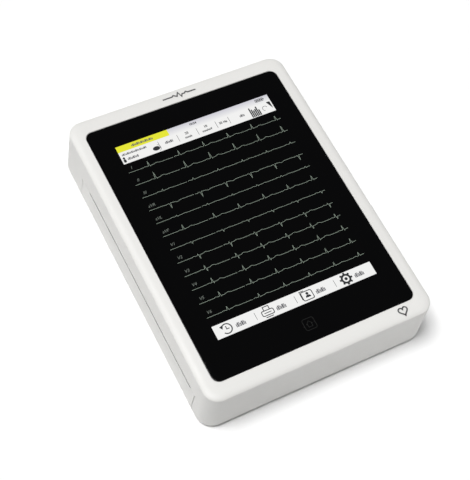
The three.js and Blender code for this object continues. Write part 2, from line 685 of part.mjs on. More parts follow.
/** A metal port shell open at +Y with a tongue in it, standing on z = 0 and centred on x = 0. */
function portShell({ halfWidth, height, depth }, tongue) {
  const wall = 0.6;
  const shell = cut(
    solidOf(block([-halfWidth, halfWidth], [-depth, 0], [0, height])),
    block([-halfWidth + wall, halfWidth - wall], [-depth + 2, 1], [wall, height - wall]),
  );
  return shell.add(solidOf(tongue));
}

const portMouthY = wallAt(PATIENT.z).halfLength - 0.6;
const onBoard = (name) => [PORT_X[name], portMouthY, PORT_BOARD.z[1] + HAIRLINE];

/** A barrel socket for the power adapter, with its centre pin. */
function dcInlet() {
  const { halfWidth, height, depth, axisZ, barrel, bore, pin } = DC;
  const axis = [0, axisZ];
  const body = joined(
    block([-halfWidth, halfWidth], [-depth, -4], [0, height]),
    rod("y", barrel, [-4.1, 0], axis, 20),
  );
  return cut(body, rod("y", bore, [2 - depth, OVERSHOOT], axis, 20)).add(
    solidOf(rod("y", pin, [1 - depth, -1], axis, 10)),
  );
}

add(housing, "patient_connector", patientConnector(), finish.dark);
add(housing, "io_board", block(PORT_BOARD.x, PORT_BOARD.y, PORT_BOARD.z), finish.board);
for (const name of ["usb_port_1", "usb_port_2"])
  add(housing, name, portShell(USB, block([-5, 5], [-13, -2], [3.2, 4.6])), finish.steel, onBoard(name));
add(
  housing,
  "lan_port",
  portShell(LAN, block([-4, 4], [-15, -12], [2, 6])),
  finish.steel,
  onBoard("lan_port"),
);
add(housing, "dc_inlet", dcInlet(), finish.dark, onBoard("dc_inlet"));
add(
  housing,
  "power_switch",
  joined(
    block([96, 97.6], centredAt(BUTTON.y, 11), [29.4, 44]),
    block([97.5, 101], centredAt(BUTTON.y, 3.2), centredAt(BUTTON.z, 3.2)),
    rod("x", 1.6, [100.9, 103.2], [BUTTON.y, BUTTON.z], 12),
  ),
  finish.dark,
);
add(
  machine,
  "power_button",
  joined(
    rod("x", BUTTON.radius, [105, BUTTON.faceX], [BUTTON.y, BUTTON.z], 24),
    rod("x", BUTTON.radius + BUTTON.collar, [106.6, 108.2], [BUTTON.y, BUTTON.z], 24),
  ),
  finish.case,
);

// ---- Printer: chassis, head, motor and gears ----------------------------------------------------

function printerChassis() {
  const { y0, y1, sheet, deckZ, x0, x1 } = CHASSIS;
  const rear = [y1 - sheet, y1];
  const front = [y0, y0 + sheet];
  const body = joined(
    block([x0, x1], [y0, y1], [deckZ, deckZ + sheet]),
    ...[front, rear].flatMap((y) => [
      block([-92, x1], y, [FLOOR_Z + 0.2, deckZ + sheet]),
      block([-107, -76], y, [deckZ - 2, CROSSBAR_Z]),
    ]),
  );
  return cut(
    body,
    rod("y", MOTOR_SHAFT_RADIUS * 3, [100, 110], [PINION_X, PLATEN.z], 16),
    rod("y", HEAD_PIVOT.radius + 0.1, LENGTHWAYS, [HEAD_PIVOT.x, HEAD_PIVOT.z], 12),
    ...[-90, -55, 25, 60].map((y) =>
      rod("z", LIGHTENING.radius, [deckZ - OVERSHOOT, deckZ + sheet + OVERSHOOT], [-10, y], 16),
    ),
  );
}

function headSink() {
  const { x0, y0, y1, z1, sinkZ } = HEAD;
  const body = joined(
    block([x0, HEAD_PIVOT.x + 0.5], [y0, y1], [z1 + HAIRLINE, sinkZ]),
    rod("y", HEAD_PIVOT.radius * 2, [y0, y1], [HEAD_PIVOT.x, HEAD_PIVOT.z], 16),
  );
  return cut(body, rod("y", HEAD_PIVOT.radius + 0.1, LENGTHWAYS, [HEAD_PIVOT.x, HEAD_PIVOT.z], 16));
}

/** The serrated strip over the paper slot, against the inside of the case's wall. */
function tearBar() {
  const { x, z0, z1, tooth, count, thickness } = TEAR_BAR;
  const profile = new THREE.Shape();
  const [y0, y1] = [SLOT.y0 + 0.4, SLOT.y1 - 0.4];
  const pitch = (y1 - y0) / count;
  profile.moveTo(y1, z1);
  profile.lineTo(y0, z1);
  for (let i = 0; i < count; i++) {
    profile.lineTo(y0 + i * pitch, z0);
    profile.lineTo(y0 + (i + 0.5) * pitch, z0 - tooth);
  }
  profile.lineTo(y1, z0);
  profile.closePath();
  return new THREE.ExtrudeGeometry(profile, { depth: thickness, bevelEnabled: false })
    .rotateX(Math.PI / 2)
    .rotateZ(Math.PI / 2)
    .translate(x, 0, 0);
}

function motor() {
  const centre = [PINION_X, PLATEN.z];
  const start = CHASSIS.y1 + 0.1;
  const body = joined(
    rod("y", MOTOR.radius, [start, start + MOTOR.length], centre, 28),
    block(centredAt(PINION_X, MOTOR.ear), [start, start + MOTOR.flange], centredAt(PLATEN.z, 5)),
  );
  return cut(body, rod("y", MOTOR_SHAFT_RADIUS + 0.1, [start - OVERSHOOT, start + 6], centre, 24));
}

add(housing, "printer_chassis", printerChassis(), finish.steel);
add(
  housing,
  "spring_crossbar",
  block([-106, -78], [CHASSIS.y0, CHASSIS.y1], [CROSSBAR_Z + 0.05, CROSSBAR_Z + 1.25]),
  finish.steel,
);
add(
  housing,
  "head_pivot_pin",
  rod("y", HEAD_PIVOT.radius, [CHASSIS.y0, CHASSIS.y1], [0, 0], 12),
  finish.steel,
  [HEAD_PIVOT.x, 0, HEAD_PIVOT.z],
);
SPRING.y.forEach((y, i) =>
  add(housing, `head_spring_${i + 1}`, spring(SPRING, CROSSBAR_Z - HEAD.sinkZ - 0.4), finish.steel, [
    SPRING.x,
    y,
    HEAD.sinkZ + 0.2,
  ]),
);
add(
  housing,
  "paper_sensor",
  joined(block([-76, -66], [-30, -18], [30.4, 33.9]), block([-74, -68], [-28, -20], [28.6, 30.5])),
  finish.dark,
);
add(housing, "tear_bar", tearBar(), finish.steel);
add(housing, "stepper_motor", motor(), finish.dark);
add(
  housing,
  "idler_pin",
  rod("y", IDLER_PIN_RADIUS, [GEAR.y0 - 1, CHASSIS.y1 - CHASSIS.sheet - HAIRLINE], [0, 0], 12),
  finish.steel,
  [IDLER_X, 0, PLATEN.z],
);
add(
  printHead,
  "thermal_head",
  block([HEAD.x0, HEAD.x1], [HEAD.y0, HEAD.y1], [HEAD.z0, HEAD.z1]),
  finish.gold,
);
add(printHead, "head_heat_sink", headSink(), finish.aluminium);

const halfTooth = Math.PI / TEETH.idler; // turns the idler so that its gaps face the other gears
const onPin = IDLER_PIN_RADIUS + 0.08;
add(machine, "idler_gear", gear(TEETH.idler, onPin, halfTooth), finish.gear, [IDLER_X, 0, PLATEN.z]);
const onShaft = MOTOR_SHAFT_RADIUS + HAIRLINE;
add(machine, "motor_pinion", gear(TEETH.pinion, onShaft, 0), finish.gear, [PINION_X, 0, PLATEN.z]);
const motorShaft = rod("y", MOTOR_SHAFT_RADIUS, [GEAR.y0 - 0.5, GEAR.y1 + 7], [0, 0], 12);
add(machine, "motor_shaft", motorShaft, finish.steel, [PINION_X, 0, PLATEN.z]);

// ---- Paper drawer -------------------------------------------------------------------------------

/** A slotted guide for one of the drawer's tongues, on the lower housing beside the tray. */
function rail(side) {
  const wallY = side < 0 ? TRAY.y0 - GAP : TRAY.y1 + GAP;
  const span = [wallY, wallY + side * RAIL.depth].sort((a, b) => a - b);
  const groove = [wallY - side, wallY + side * (RAIL.tongue + 0.3)].sort((a, b) => a - b);
  return cut(
    solidOf(block([-104, 52], span, [RAIL.z0, RAIL.z1])),
    block([-110, 60], groove, [RAIL.tongueZ0 - 0.4, RAIL.tongueZ1 + 0.4]),
  );
}

/** The slope inside the drawer's top edge that guides the paper up to a thin lip at the slot. */
function paperRamp() {
  const top = DRAWER.topZ - SEAM - SLOT.below;
  const lipX = SLOT.lip - wallAt(top).halfWidth;
  const [, inside] = LEFT_WALL;
  const outline = [
    [lipX, top],
    [lipX + WALL - SLOT.lip, top - SLOT.ramp],
    [inside, top - SLOT.ramp],
    [inside, top + OVERSHOOT],
    [lipX, top + OVERSHOOT],
  ];
  return ribbon(outline, [SLOT.y0, SLOT.y1]);
}

/** The hollow behind the drawer's front that fingertips hook into from below. */
function fingerPocket() {
  const { x0, x1, y0, y1, roofZ, wall } = FINGER;
  const outer = solidOf(block([x0 - 0.6, x1 + wall], [y0 - wall, y1 + wall], [BASE_Z + 0.5, roofZ + wall]));
  return cut(outer, block([x0 - 0.7, x1], [y0, y1], [0, roofZ]));
}

function drawerFront() {
  const { y0, y1, topZ, lipX } = DRAWER;
  const room = solidOf(block(LEFT_WALL, [y0 + SEAM, y1 - SEAM], [0, topZ - SEAM]));
  const hollow = loft([wallAt(FLOOR_Z, WALL), wallAt(TOP_Z, WALL)]);
  const skin = solidOf(caseForm()).intersect(room).subtract(solidOf(hollow));
  const front = cut(
    skin,
    block([lipX, 0], EVERYWHERE, [0, TOP_Z]),
    block(LEFT_WALL, [SLOT.y0, SLOT.y1], [topZ - SEAM - SLOT.below, TOP_Z]),
    block([FINGER.x0, 0], [FINGER.y0, FINGER.y1], [0, FINGER.roofZ]),
    paperRamp(),
  );
  return front.add(fingerPocket());
}

function paperTray() {
  const { x0, x1, y0, y1, z0, z1, wall, floor } = TRAY;
  const cheekX = wallAt(30, WALL).halfWidth - 0.1;
  const box = cut(
    solidOf(block([x0, x1], [y0, y1], [z0, z1])),
    block([x0 + wall, x1 - wall], [y0 + wall, y1 - wall], [z0 + floor, z1 + 5]),
    block([x0 - 1, x0 + wall + 1], [y0 + wall, y1 - wall], [z1 - 3, z1 + 5]),
  );
  const sides = [
    { y: [y0, y0 + wall], tongue: [y0 - RAIL.tongue, y0 + 0.1] },
    { y: [y1 - wall, y1], tongue: [y1 - 0.1, y1 + RAIL.tongue] },
  ];
  const extras = sides.flatMap(({ y, tongue }) => [
    block([-cheekX, x0 + 6], y, [z0, CHEEK_TOP_Z]),
    block([-94, x1], tongue, [RAIL.tongueZ0, RAIL.tongueZ1]),
  ]);
  const body = extras.reduce((solid, extra) => solid.add(solidOf(extra)), box);
  const notch = block([x1 - 4.2, x1 + 1], centredAt(LATCH_Y, 7), [z1 - 1, z1 + 1]);
  return cut(body, rod("y", BUSH.radius + 0.1, LENGTHWAYS, [PLATEN.x, PLATEN.z], 24), notch);
}

/** A plain bush for the platen's shaft, centred on y = 0. */
const bush = () =>
  cut(
    solidOf(rod("y", BUSH.radius, centredAt(0, BUSH.halfLength), [0, 0], 24)),
    rod("y", PLATEN.shaft + 0.1, centredAt(0, BUSH.halfLength + OVERSHOOT), [0, 0], 24),
  );

/** A leaf spring under the chassis deck whose V drops into the notch in the tray's back wall. */
function drawerLatch() {
  const top = CHASSIS.deckZ - 0.1;
  const outline = [
    [34, top - 0.8],
    [34, top],
    [48.9, top],
    [51, 25.6],
    [46.4, 21.4],
    [43.2, 24.4],
    [43.8, 25],
    [46.4, 22.5],
    [50.1, 25.9],
    [48.2, top - 0.8],
  ];
  return ribbon(outline, centredAt(LATCH_Y, 6));
}

add(housing, "drawer_latch", drawerLatch(), finish.steel);
add(housing, "drawer_rail_1", rail(-1), finish.dark);
add(housing, "drawer_rail_2", rail(1), finish.dark);
add(drawer, "drawer_front", drawerFront(), finish.case);
add(drawer, "paper_tray", paperTray(), finish.dark);
add(drawer, "platen_bush_1", bush(), finish.gear, [PLATEN.x, TRAY.y0 + TRAY.wall / 2, PLATEN.z]);
add(drawer, "platen_bush_2", bush(), finish.gear, [PLATEN.x, TRAY.y1 - TRAY.wall / 2, PLATEN.z]);
add(
  drawer,
  "paper_pack",
  block([-PAPER.fold / 2, PAPER.fold / 2], [-PAPER.width / 2, PAPER.width / 2], [0, PAPER.stack]),
  finish.paper,
  [(TRAY.x0 + TRAY.x1) / 2, (TRAY.y0 + TRAY.y1) / 2, TRAY.z0 + TRAY.floor + HAIRLINE],
);

const rollerRange = [TRAY.y0 + TRAY.wall + 0.9, TRAY.y1 - TRAY.wall - 0.9];
add(
  platen,
  "platen_roller",
  cut(
    solidOf(rod("y", PLATEN.radius, rollerRange, [0, 0], 32)),
    rod("y", PLATEN.shaft + HAIRLINE, LENGTHWAYS, [0, 0], 24),
  ),
  finish.rubber,
);
add(platen, "platen_shaft", rod("y", PLATEN.shaft, [TRAY.y0 - 1, 101.8], [0, 0], 24), finish.steel);
add(platen, "platen_gear", gear(TEETH.platen, PLATEN.shaft + 0.1, 0), finish.gear);

export default machine;
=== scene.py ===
"""Looks for a tablet-shaped ECG recorder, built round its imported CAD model. Metres, +Z up."""

import json
import math

import bmesh
import bpy
from mathutils import Matrix, Vector

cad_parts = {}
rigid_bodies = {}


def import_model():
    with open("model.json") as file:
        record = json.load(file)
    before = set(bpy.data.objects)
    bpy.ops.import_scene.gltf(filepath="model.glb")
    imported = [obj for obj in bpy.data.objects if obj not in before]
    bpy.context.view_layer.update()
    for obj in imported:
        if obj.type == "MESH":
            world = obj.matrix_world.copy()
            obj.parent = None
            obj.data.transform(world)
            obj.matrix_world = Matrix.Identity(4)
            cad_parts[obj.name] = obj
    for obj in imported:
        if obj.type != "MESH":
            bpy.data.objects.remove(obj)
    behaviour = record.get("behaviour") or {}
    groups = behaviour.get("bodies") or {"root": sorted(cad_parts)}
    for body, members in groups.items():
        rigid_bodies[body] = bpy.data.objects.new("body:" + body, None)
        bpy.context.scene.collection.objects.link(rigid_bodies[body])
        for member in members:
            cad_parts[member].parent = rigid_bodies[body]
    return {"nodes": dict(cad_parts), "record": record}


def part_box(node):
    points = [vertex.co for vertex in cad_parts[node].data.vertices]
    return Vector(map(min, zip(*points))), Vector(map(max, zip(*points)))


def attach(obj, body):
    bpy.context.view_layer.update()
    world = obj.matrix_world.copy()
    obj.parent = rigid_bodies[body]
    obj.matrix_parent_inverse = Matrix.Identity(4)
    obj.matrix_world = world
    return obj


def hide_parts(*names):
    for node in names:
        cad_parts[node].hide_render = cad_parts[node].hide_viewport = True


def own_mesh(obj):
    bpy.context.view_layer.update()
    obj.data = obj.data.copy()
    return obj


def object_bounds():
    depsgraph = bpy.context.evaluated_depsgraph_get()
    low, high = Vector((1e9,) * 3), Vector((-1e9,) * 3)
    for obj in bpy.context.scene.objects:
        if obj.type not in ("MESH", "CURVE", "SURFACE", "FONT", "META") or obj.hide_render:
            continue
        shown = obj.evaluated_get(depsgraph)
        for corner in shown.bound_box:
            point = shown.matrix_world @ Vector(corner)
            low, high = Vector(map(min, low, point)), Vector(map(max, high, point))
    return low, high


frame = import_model()
cad_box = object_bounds()

MM = 0.001

# ---- Sizes that follow the frame --------


def box_of(node):
    """The middle of a node's box, and half its size."""
    low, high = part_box(node)
    return (low + high) / 2, (high - low) / 2


upper_low, upper_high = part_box("upper_housing")
glass_low, glass_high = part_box("cover_glass")
cell_low, cell_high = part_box("display_cell")
drawer_low, drawer_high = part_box("drawer_front")
pack_low, pack_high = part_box("paper_pack")
plate_low, plate_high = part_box("rating_plate")
lid_low, lid_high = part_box("battery_cover")
roller_middle, roller_half = box_of("platen_roller")
button_middle, button_half = box_of("power_button")
SCREW_PLACES = [box_of(f"case_screw_{i + 1}")[0].xy for i in range(6)]
LID_SCREW = box_of("battery_cover_screw")[0].xy

BASE_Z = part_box("lower_housing")[0].z
TOP_Z = upper_high.z
SPLIT_Z = upper_low.z
GLASS_Z = glass_high.z
GLASS_HALF = Vector((glass_high.x, glass_high.y))

# The case's form, as the CAD has it, with many more steps round each curve.
FLARE = 1.9 * MM
CORNER = 14 * MM
SHOULDER_IN = 8 * MM
SHOULDER_DOWN = 3.4 * MM
RIM_DOME = 0.25 * MM  # how far the rim rises towards the glass
RIM_WIDTH = 4.6 * MM
BASE_FILLET = 4 * MM
WALL = 2.6 * MM
CEILING_Z = 52.8 * MM
LEDGE_Z = 55.2 * MM
FLOOR_Z = 4 * MM
GLASS_GAP = 0.25 * MM
GLASS_RADIUS = 7 * MM
RIGHT_X, REAR_Y = cad_box[1][:2]
SHOULDER_HALF = Vector((RIGHT_X - FLARE, REAR_Y - FLARE))
SHOULDER_Z = TOP_Z - SHOULDER_DOWN
FILLET_Z = BASE_Z + BASE_FILLET
CURVE_STEPS = 14
FAR = 0.2  # the reach of a cutter that passes through the whole case
BELOW = -10 * MM
THROUGH_TOP = (40 * MM, 60 * MM)
THROUGH_REAR = (140 * MM, 160 * MM)
THROUGH_RIGHT = (100 * MM, 120 * MM)

# The drawer's front, the slot for the paper over it and the finger pull behind it.
SEAM = 0.3 * MM
DRAWER_Y = (drawer_low.y - SEAM, drawer_high.y + SEAM)
DRAWER_TOP = drawer_high.z + SEAM
ROOM_X = (-125 * MM, -105 * MM)
DRAWER_BACK = -100 * MM
SLOT_Y = (-120.3 * MM, 89.9 * MM)
SLOT_TOP = DRAWER_TOP + 1.1 * MM
SLOT_BOTTOM = drawer_high.z - 0.2 * MM
LIP = 0.08 * MM
RELIEF = 0.3 * MM  # how far the drawer face's sides are trimmed in, which widens the seam there
RAMP_DROP = 7 * MM
LIP_X = -105.7 * MM
finger_opening = frame["record"]["physics"]["openings"][0]["box_m"]
FINGER_LOW, FINGER_HIGH = [Vector(corner) for corner in finger_opening]

# The sockets and the button.
PORT_PLAY = 0.55 * MM
PORT_FACE = REAR_Y - FLARE * 0.47  # the rear wall's face at the ports' height
INLET_AXIS = 5.85 * MM  # the power socket's axis over the bottom of its body
BUTTON_RADIUS = 5.2 * MM
COLLAR_X = (106.6 * MM, 108.2 * MM)
PLUG_HALF = Vector((12.6 * MM, 4.3 * MM))
PLUG_WALL = 0.8 * MM
JACK_NUT = 16.65 * MM  # from the patient socket's middle to each nut

# The base's screws, vents, battery room and label.
BOSS_RADIUS = 4 * MM
PILOT_RADIUS = 1.6 * MM
POST_FOOT = 3 * MM
VENT_Y = (120 * MM, 132 * MM)
LID_SEAT = 0.25 * MM
BAY_WALL = 1.8 * MM
TAB_RADIUS = 5.75 * MM
TAB_LENGTH = 11.5 * MM
RIBS_Y = -106 * MM
BATTERY_LOW = Vector((56 * MM, -118 * MM, FLOOR_Z))
BATTERY_HIGH = Vector((106 * MM, 22 * MM, 26 * MM))

# ---- Mesh helpers --------

SHARP_EDGE = math.radians(32)
BEVELLED_EDGE = math.radians(40)


def new_object(name, data):
    obj = bpy.data.objects.new(name, data)
    bpy.context.scene.collection.objects.link(obj)
    return obj


def from_bmesh(name, bm):
    bmesh.ops.recalc_face_normals(bm, faces=bm.faces)
    mesh = bpy.data.meshes.new(name)
    bm.to_mesh(mesh)
    bm.free()
    return new_object(name, mesh)


def rounded_ring(half, radius, z, centre=(0, 0), steps=CURVE_STEPS):
    """The points of a rectangle with round corners, anticlockwise from its right side."""
    points = []
    for corner in range(4):
        side_x = 1 if corner in (0, 3) else -1
        side_y = 1 if corner < 2 else -1
        for step in range(steps + 1):
            angle = (corner + step / steps) * math.pi / 2
            x = centre[0] + side_x * (half[0] - radius) + radius * math.cos(angle)
            y = centre[1] + side_y * (half[1] - radius) + radius * math.sin(angle)
            points.append(Vector((x, y, z)))
    return points


def grown_ring(half, radius, grow, z, centre=(0, 0), steps=CURVE_STEPS):
    """A rounded ring moved outwards by a distance, with its corners kept parallel."""
    return rounded_ring((half[0] + grow, half[1] + grow), radius + grow, z, centre, steps)


def facing_x(points, x):
    return [Vector((x, p.x, p.y)) for p in points]


def facing_y(points, y):
    return [Vector((p.x, y, p.y)) for p in points]


def circle(steps):
    return [2 * math.pi * i / steps for i in range(steps)]


def quarter_turn(steps):
    return [i / steps * math.pi / 2 for i in range(steps + 1)]


def bridge(bm, rings):
    """Faces between rings of the same count."""
    rows = [[bm.verts.new(p) for p in ring] for ring in rings]
    count = len(rows[0])
    for low, high in zip(rows, rows[1:]):
        for i in range(count):
            j = (i + 1) % count
            bm.faces.new((low[i], low[j], high[j], high[i]))
    return rows


def loft(name, rings):
    """A closed solid through a list of rings."""
    bm = bmesh.new()
    rows = bridge(bm, rings)
    bm.faces.new(list(reversed(rows[0])))
    bm.faces.new(rows[-1])
    return from_bmesh(name, bm)


def box_object(name, low, high):
    low, high = Vector(low), Vector(high)
    bm = bmesh.new()
    bmesh.ops.create_cube(bm, size=1)
    centre = (low + high) / 2
    for vert in bm.verts:
        vert.co = Vector([centre[i] + vert.co[i] * (high[i] - low[i]) for i in range(3)])
    return from_bmesh(name, bm)


AXIS_TURNS = {
    "x": Matrix.Rotation(math.pi / 2, 4, "Y"),
    "y": Matrix.Rotation(-math.pi / 2, 4, "X"),
    "z": Matrix.Identity(4),
}


def lathe(name, profile, axis="z", origin=(0, 0, 0), steps=48):
    """A turned solid from (radius, height) pairs; both ends of the profile are on the axis."""
    bm = bmesh.new()
    rings = []
    for radius, height in profile[1:-1]:
        ring = [Vector((radius * math.cos(a), radius * math.sin(a), height)) for a in circle(steps)]
        rings.append(ring)
    rows = bridge(bm, rings)
    for row, end in ((rows[0], profile[0]), (rows[-1], profile[-1])):
        tip = bm.verts.new((0, 0, end[1]))
        for i in range(steps):
            bm.faces.new((row[i], row[(i + 1) % steps], tip))
    bmesh.ops.transform(bm, matrix=Matrix.Translation(origin) @ AXIS_TURNS[axis], verts=bm.verts)
    return from_bmesh(name, bm)


def rod(name, axis, radius, span, centre, steps=32):
    """A cylinder along an axis between two coordinates; centre gives the other two."""
    places = {"x": (0, *centre), "y": (centre[0], 0, centre[1]), "z": (*centre, 0)}
    profile = [(0, span[0]), (radius, span[0]), (radius, span[1]), (0, span[1])]
    return lathe(name, profile, axis, places[axis], steps)


def combine(target, tools, operation="DIFFERENCE"):
    """Cuts the tools from the target, or joins them to it, one after another."""
    for tool in tools:
        modifier = target.modifiers.new("combine", "BOOLEAN")
        modifier.operation = operation
        modifier.object = tool
        modifier.solver = "MANIFOLD"
        depsgraph = bpy.context.evaluated_depsgraph_get()
        result = bpy.data.meshes.new_from_object(target.evaluated_get(depsgraph))
        target.modifiers.clear()
        target.data = result
        bpy.data.objects.remove(tool)
    return target


def join(name, objects):
    """One object that holds the meshes of several."""
    bm = bmesh.new()
    for obj in objects:
        mesh = obj.data.copy()
        mesh.transform(obj.matrix_world)
        bm.from_mesh(mesh)
        bpy.data.objects.remove(obj)
    return from_bmesh(name, bm)


def smooth(obj):
    """Smooth shading that keeps sharp edges, with normals that favour the flat faces."""
    for polygon in obj.data.polygons:
        polygon.use_smooth = True
    obj.data.set_sharp_from_angle(angle=SHARP_EDGE)
    modifier = obj.modifiers.new("weighted_normals", "WEIGHTED_NORMAL")
    modifier.keep_sharp = True
    return obj


def soften(obj, width):
    """Small bevelled edges, as moulded and machined parts have."""
    modifier = obj.modifiers.new("edges", "BEVEL")
    modifier.width = width
    modifier.segments = 1
    modifier.limit_method = "ANGLE"
    modifier.angle_limit = BEVELLED_EDGE
    modifier.harden_normals = False
    return smooth(obj)


# ---- Materials --------


class Nodes:
    """A material's node tree, with short ways to add what these materials share."""

    def __init__(self, name):
        self.material = bpy.data.materials.new(name)
        self.material.use_nodes = True
        self.tree = self.material.node_tree
        self.shader = self.tree.nodes["Principled BSDF"]
        self.place = self.add("ShaderNodeTexCoord").outputs["Object"]

    def add(self, kind, **inputs):
        node = self.tree.nodes.new(kind)
        for key, value in inputs.items():
            self.feed(node, key.replace("_", " "), value)
        return node

    def feed(self, node, key, value):
        socket = node.inputs[key]
        if isinstance(value, bpy.types.NodeSocket):
            self.tree.links.new(value, socket)
        else:
            socket.default_value = value

    def set(self, **inputs):
        for key, value in inputs.items():
            self.feed(self.shader, key.replace("_", " "), value)

    def noise(self, per_metre, detail=2.0, stretch=None):
        place = self.place
        if stretch:
            mapping = self.add("ShaderNodeMapping", Vector=place, Scale=stretch)
            place = mapping.outputs["Vector"]
        node = self.add("ShaderNodeTexNoise", Vector=place, Scale=per_metre, Detail=detail)
        return node.outputs["Fac"]

    def range(self, value, low, high):
        """Maps the middle of a noise to a range of numbers."""
        limits = {"From_Min": 0.3, "From_Max": 0.7, "To_Min": low, "To_Max": high}
        return self.add("ShaderNodeMapRange", Value=value, **limits).outputs["Result"]

    def uneven(self, per_metre, low, high):
        """A number that wanders between two limits."""
        return self.range(self.noise(per_metre), low, high)

    def blend(self, factor, first, second):
        """A colour between two, each of them a socket or three numbers."""
        node = self.add("ShaderNodeMix")
        node.data_type = "RGBA"
        self.feed(node, 0, factor)
        for place, colour in ((6, first), (7, second)):
            plain = not isinstance(colour, bpy.types.NodeSocket)
            self.feed(node, place, (*colour, 1) if plain else colour)
        return node.outputs[2]

    def mottle(self, per_metre, dark, light):
        """A colour that wanders between two shades; dark may be a share of light."""
        if isinstance(dark, float):
            dark = [dark * c for c in light]
        return self.blend(self.uneven(per_metre, 0.0, 1.0), dark, light)

    def bump(self, height, distance, strength=0.5):
        node = self.add("ShaderNodeBump", Height=height, Distance=distance, Strength=strength)
        self.set(Normal=node.outputs["Normal"])


def moulded_plastic(name, colour, grain=0.00003, roughness=(0.46, 0.56)):
    """Injection-moulded plastic: a fine spark-eroded grain and slightly uneven gloss and shade."""
    look = Nodes(name)
    tinted = look.blend(look.uneven(14, 0.975, 1.0), [0.94 * c for c in colour], colour)
    look.set(Base_Color=tinted, Roughness=look.uneven(60, *roughness))
    look.bump(look.noise(2600, 1.0), grain, 0.35)
    return look.material


def cover_glass():
    """Black-backed glass, polished, with the faint haze that wiping leaves."""
    look = Nodes("cover_glass")
    haze = look.noise(22, 4.0, (1.0, 0.35, 1.0))
    look.set(Base_Color=(0.0016, 0.0016, 0.0018, 1), IOR=1.5)
    look.set(Roughness=look.range(haze, 0.045, 0.085))
    return look.material


def lit_ink(name, colour, fade=None):
    """A lit part of the display, with its fine rows; it can fade to a colour between two heights."""
    look = Nodes(name)
    rows = look.add("ShaderNodeTexWave", Vector=look.place, Scale=720.0)
    rows.bands_direction = "Y"
    light = look.range(rows.outputs["Fac"], 0.0, 1.0)
    tinted = look.blend(light, [0.97 * c for c in colour], colour)
    if fade:
        other, start, end = fade
        height = look.add("ShaderNodeSeparateXYZ", Vector=look.place).outputs["Y"]
        share = look.add("ShaderNodeMapRange", Value=height, From_Min=start, From_Max=end)
        tinted = look.blend(share.outputs["Result"], tinted, other)
    look.set(Base_Color=(0.0, 0.0, 0.0, 1), Roughness=0.08)
    look.set(Emission_Color=tinted, Emission_Strength=1.0)
    return look.material


def rubber():
    look = Nodes("rubber")
    look.set(Base_Color=look.mottle(300, 0.7, (0.022, 0.022, 0.024)))
    look.set(Roughness=look.uneven(180, 0.68, 0.86))
    look.bump(look.noise(1400, 3.0), 0.00004)
    return look.material


def metal(name, colour, roughness=(0.22, 0.36), stretch=(1.0, 1.0, 24.0)):
    """Bare or plated metal with fine scratches that run one way."""
    look = Nodes(name)
    lines = look.noise(90, 3.0, stretch)
    shade = look.blend(look.range(lines, 0.0, 1.0), [0.82 * c for c in colour], colour)
    look.set(Base_Color=shade, Metallic=1.0, Roughness=look.range(lines, *roughness))
    look.bump(lines, 0.00001, 0.3)
    return look.material


def circuit_board():
    """Green solder mask over copper tracks."""
    look = Nodes("circuit_board")
    colours = {
        "Color1": (0.010, 0.085, 0.035, 1),
        "Color2": (0.012, 0.105, 0.042, 1),
        "Mortar": (0.030, 0.190, 0.080, 1),
    }
    size = {"Scale": 160.0, "Mortar_Size": 0.03}
    tracks = look.add("ShaderNodeTexBrick", Vector=look.place, **size, **colours)
    look.set(Base_Color=tracks.outputs["Color"], Roughness=look.uneven(90, 0.28, 0.42))
    look.bump(tracks.outputs["Fac"], 0.00003, 0.4)
    return look.material


def amber_film():
    """Gold-plated contacts and polyimide film, with fine parallel lines."""
    look = Nodes("gold_film")
    lines = look.add("ShaderNodeTexWave", Vector=look.place, Scale=160.0)
    tinted = look.blend(lines.outputs["Fac"], (0.30, 0.15, 0.03), (0.55, 0.33, 0.10))
    look.set(Base_Color=tinted, Metallic=0.35, Roughness=look.uneven(120, 0.25, 0.4))
    return look.material


def folded_paper():
    """Thermal paper with a pale pink grid of one and five millimetres."""
    look = Nodes("thermal_paper")

    def grid(size, width, line, under):
        sizes = {"Scale": 1.0, "Brick_Width": size, "Row_Height": size, "Mortar_Size": width}
        colours = {"Color1": under, "Color2": under, "Mortar": (*line, 1)}
        brick = look.add("ShaderNodeTexBrick", Vector=look.place, **sizes, **colours)
        brick.offset = 0.0
        return brick.outputs["Color"]

    fine = grid(0.001, 0.00007, (0.93, 0.70, 0.68), (0.93, 0.86, 0.84, 1))
    coarse = grid(0.005, 0.00016, (0.90, 0.52, 0.50), fine)
    look.set(Base_Color=coarse, Roughness=look.uneven(200, 0.55, 0.7))
    look.bump(look.noise(900, 3.0), 0.00002, 0.4)
    return look.material


def wrapped_cells():
    """Dark blue shrink wrap over the battery's cells."""
    look = Nodes("battery_wrap")
    look.set(Base_Color=look.mottle(30, (0.02, 0.045, 0.12), (0.03, 0.07, 0.18)))
    look.set(Roughness=look.uneven(70, 0.25, 0.4))
    look.bump(look.noise(220), 0.0001, 0.4)
    return look.material


def printed_mark(name, colour):
    look = Nodes(name)
    look.set(Base_Color=look.mottle(400, 0.9, colour), Roughness=look.uneven(150, 0.42, 0.52))
    return look.material


CASE_WHITE = (0.69, 0.684, 0.665)
LOOKS = {
    "case_plastic": moulded_plastic("case_plastic", CASE_WHITE),
    "black_plastic": moulded_plastic("black_plastic", (0.022, 0.023, 0.025), 0.00005, (0.45, 0.6)),
    "gear_plastic": moulded_plastic("gear_plastic", (0.74, 0.70, 0.60), 0.00002, (0.3, 0.42)),
    "label_film": moulded_plastic("label_film", (0.52, 0.53, 0.54), 0.00001, (0.32, 0.4)),
    "cover_glass": cover_glass(),
    "display_light": lit_ink("display_light", (0.014, 0.0144, 0.0144)),
    "rubber": rubber(),
    "zinc_steel": metal("zinc_steel", (0.62, 0.63, 0.64)),
    "aluminium": metal("aluminium", (0.72, 0.73, 0.74), (0.3, 0.45), (1.0, 30.0, 1.0)),
    "circuit_board": circuit_board(),
    "gold_film": amber_film(),
    "battery_wrap": wrapped_cells(),
    "thermal_paper": folded_paper(),
}


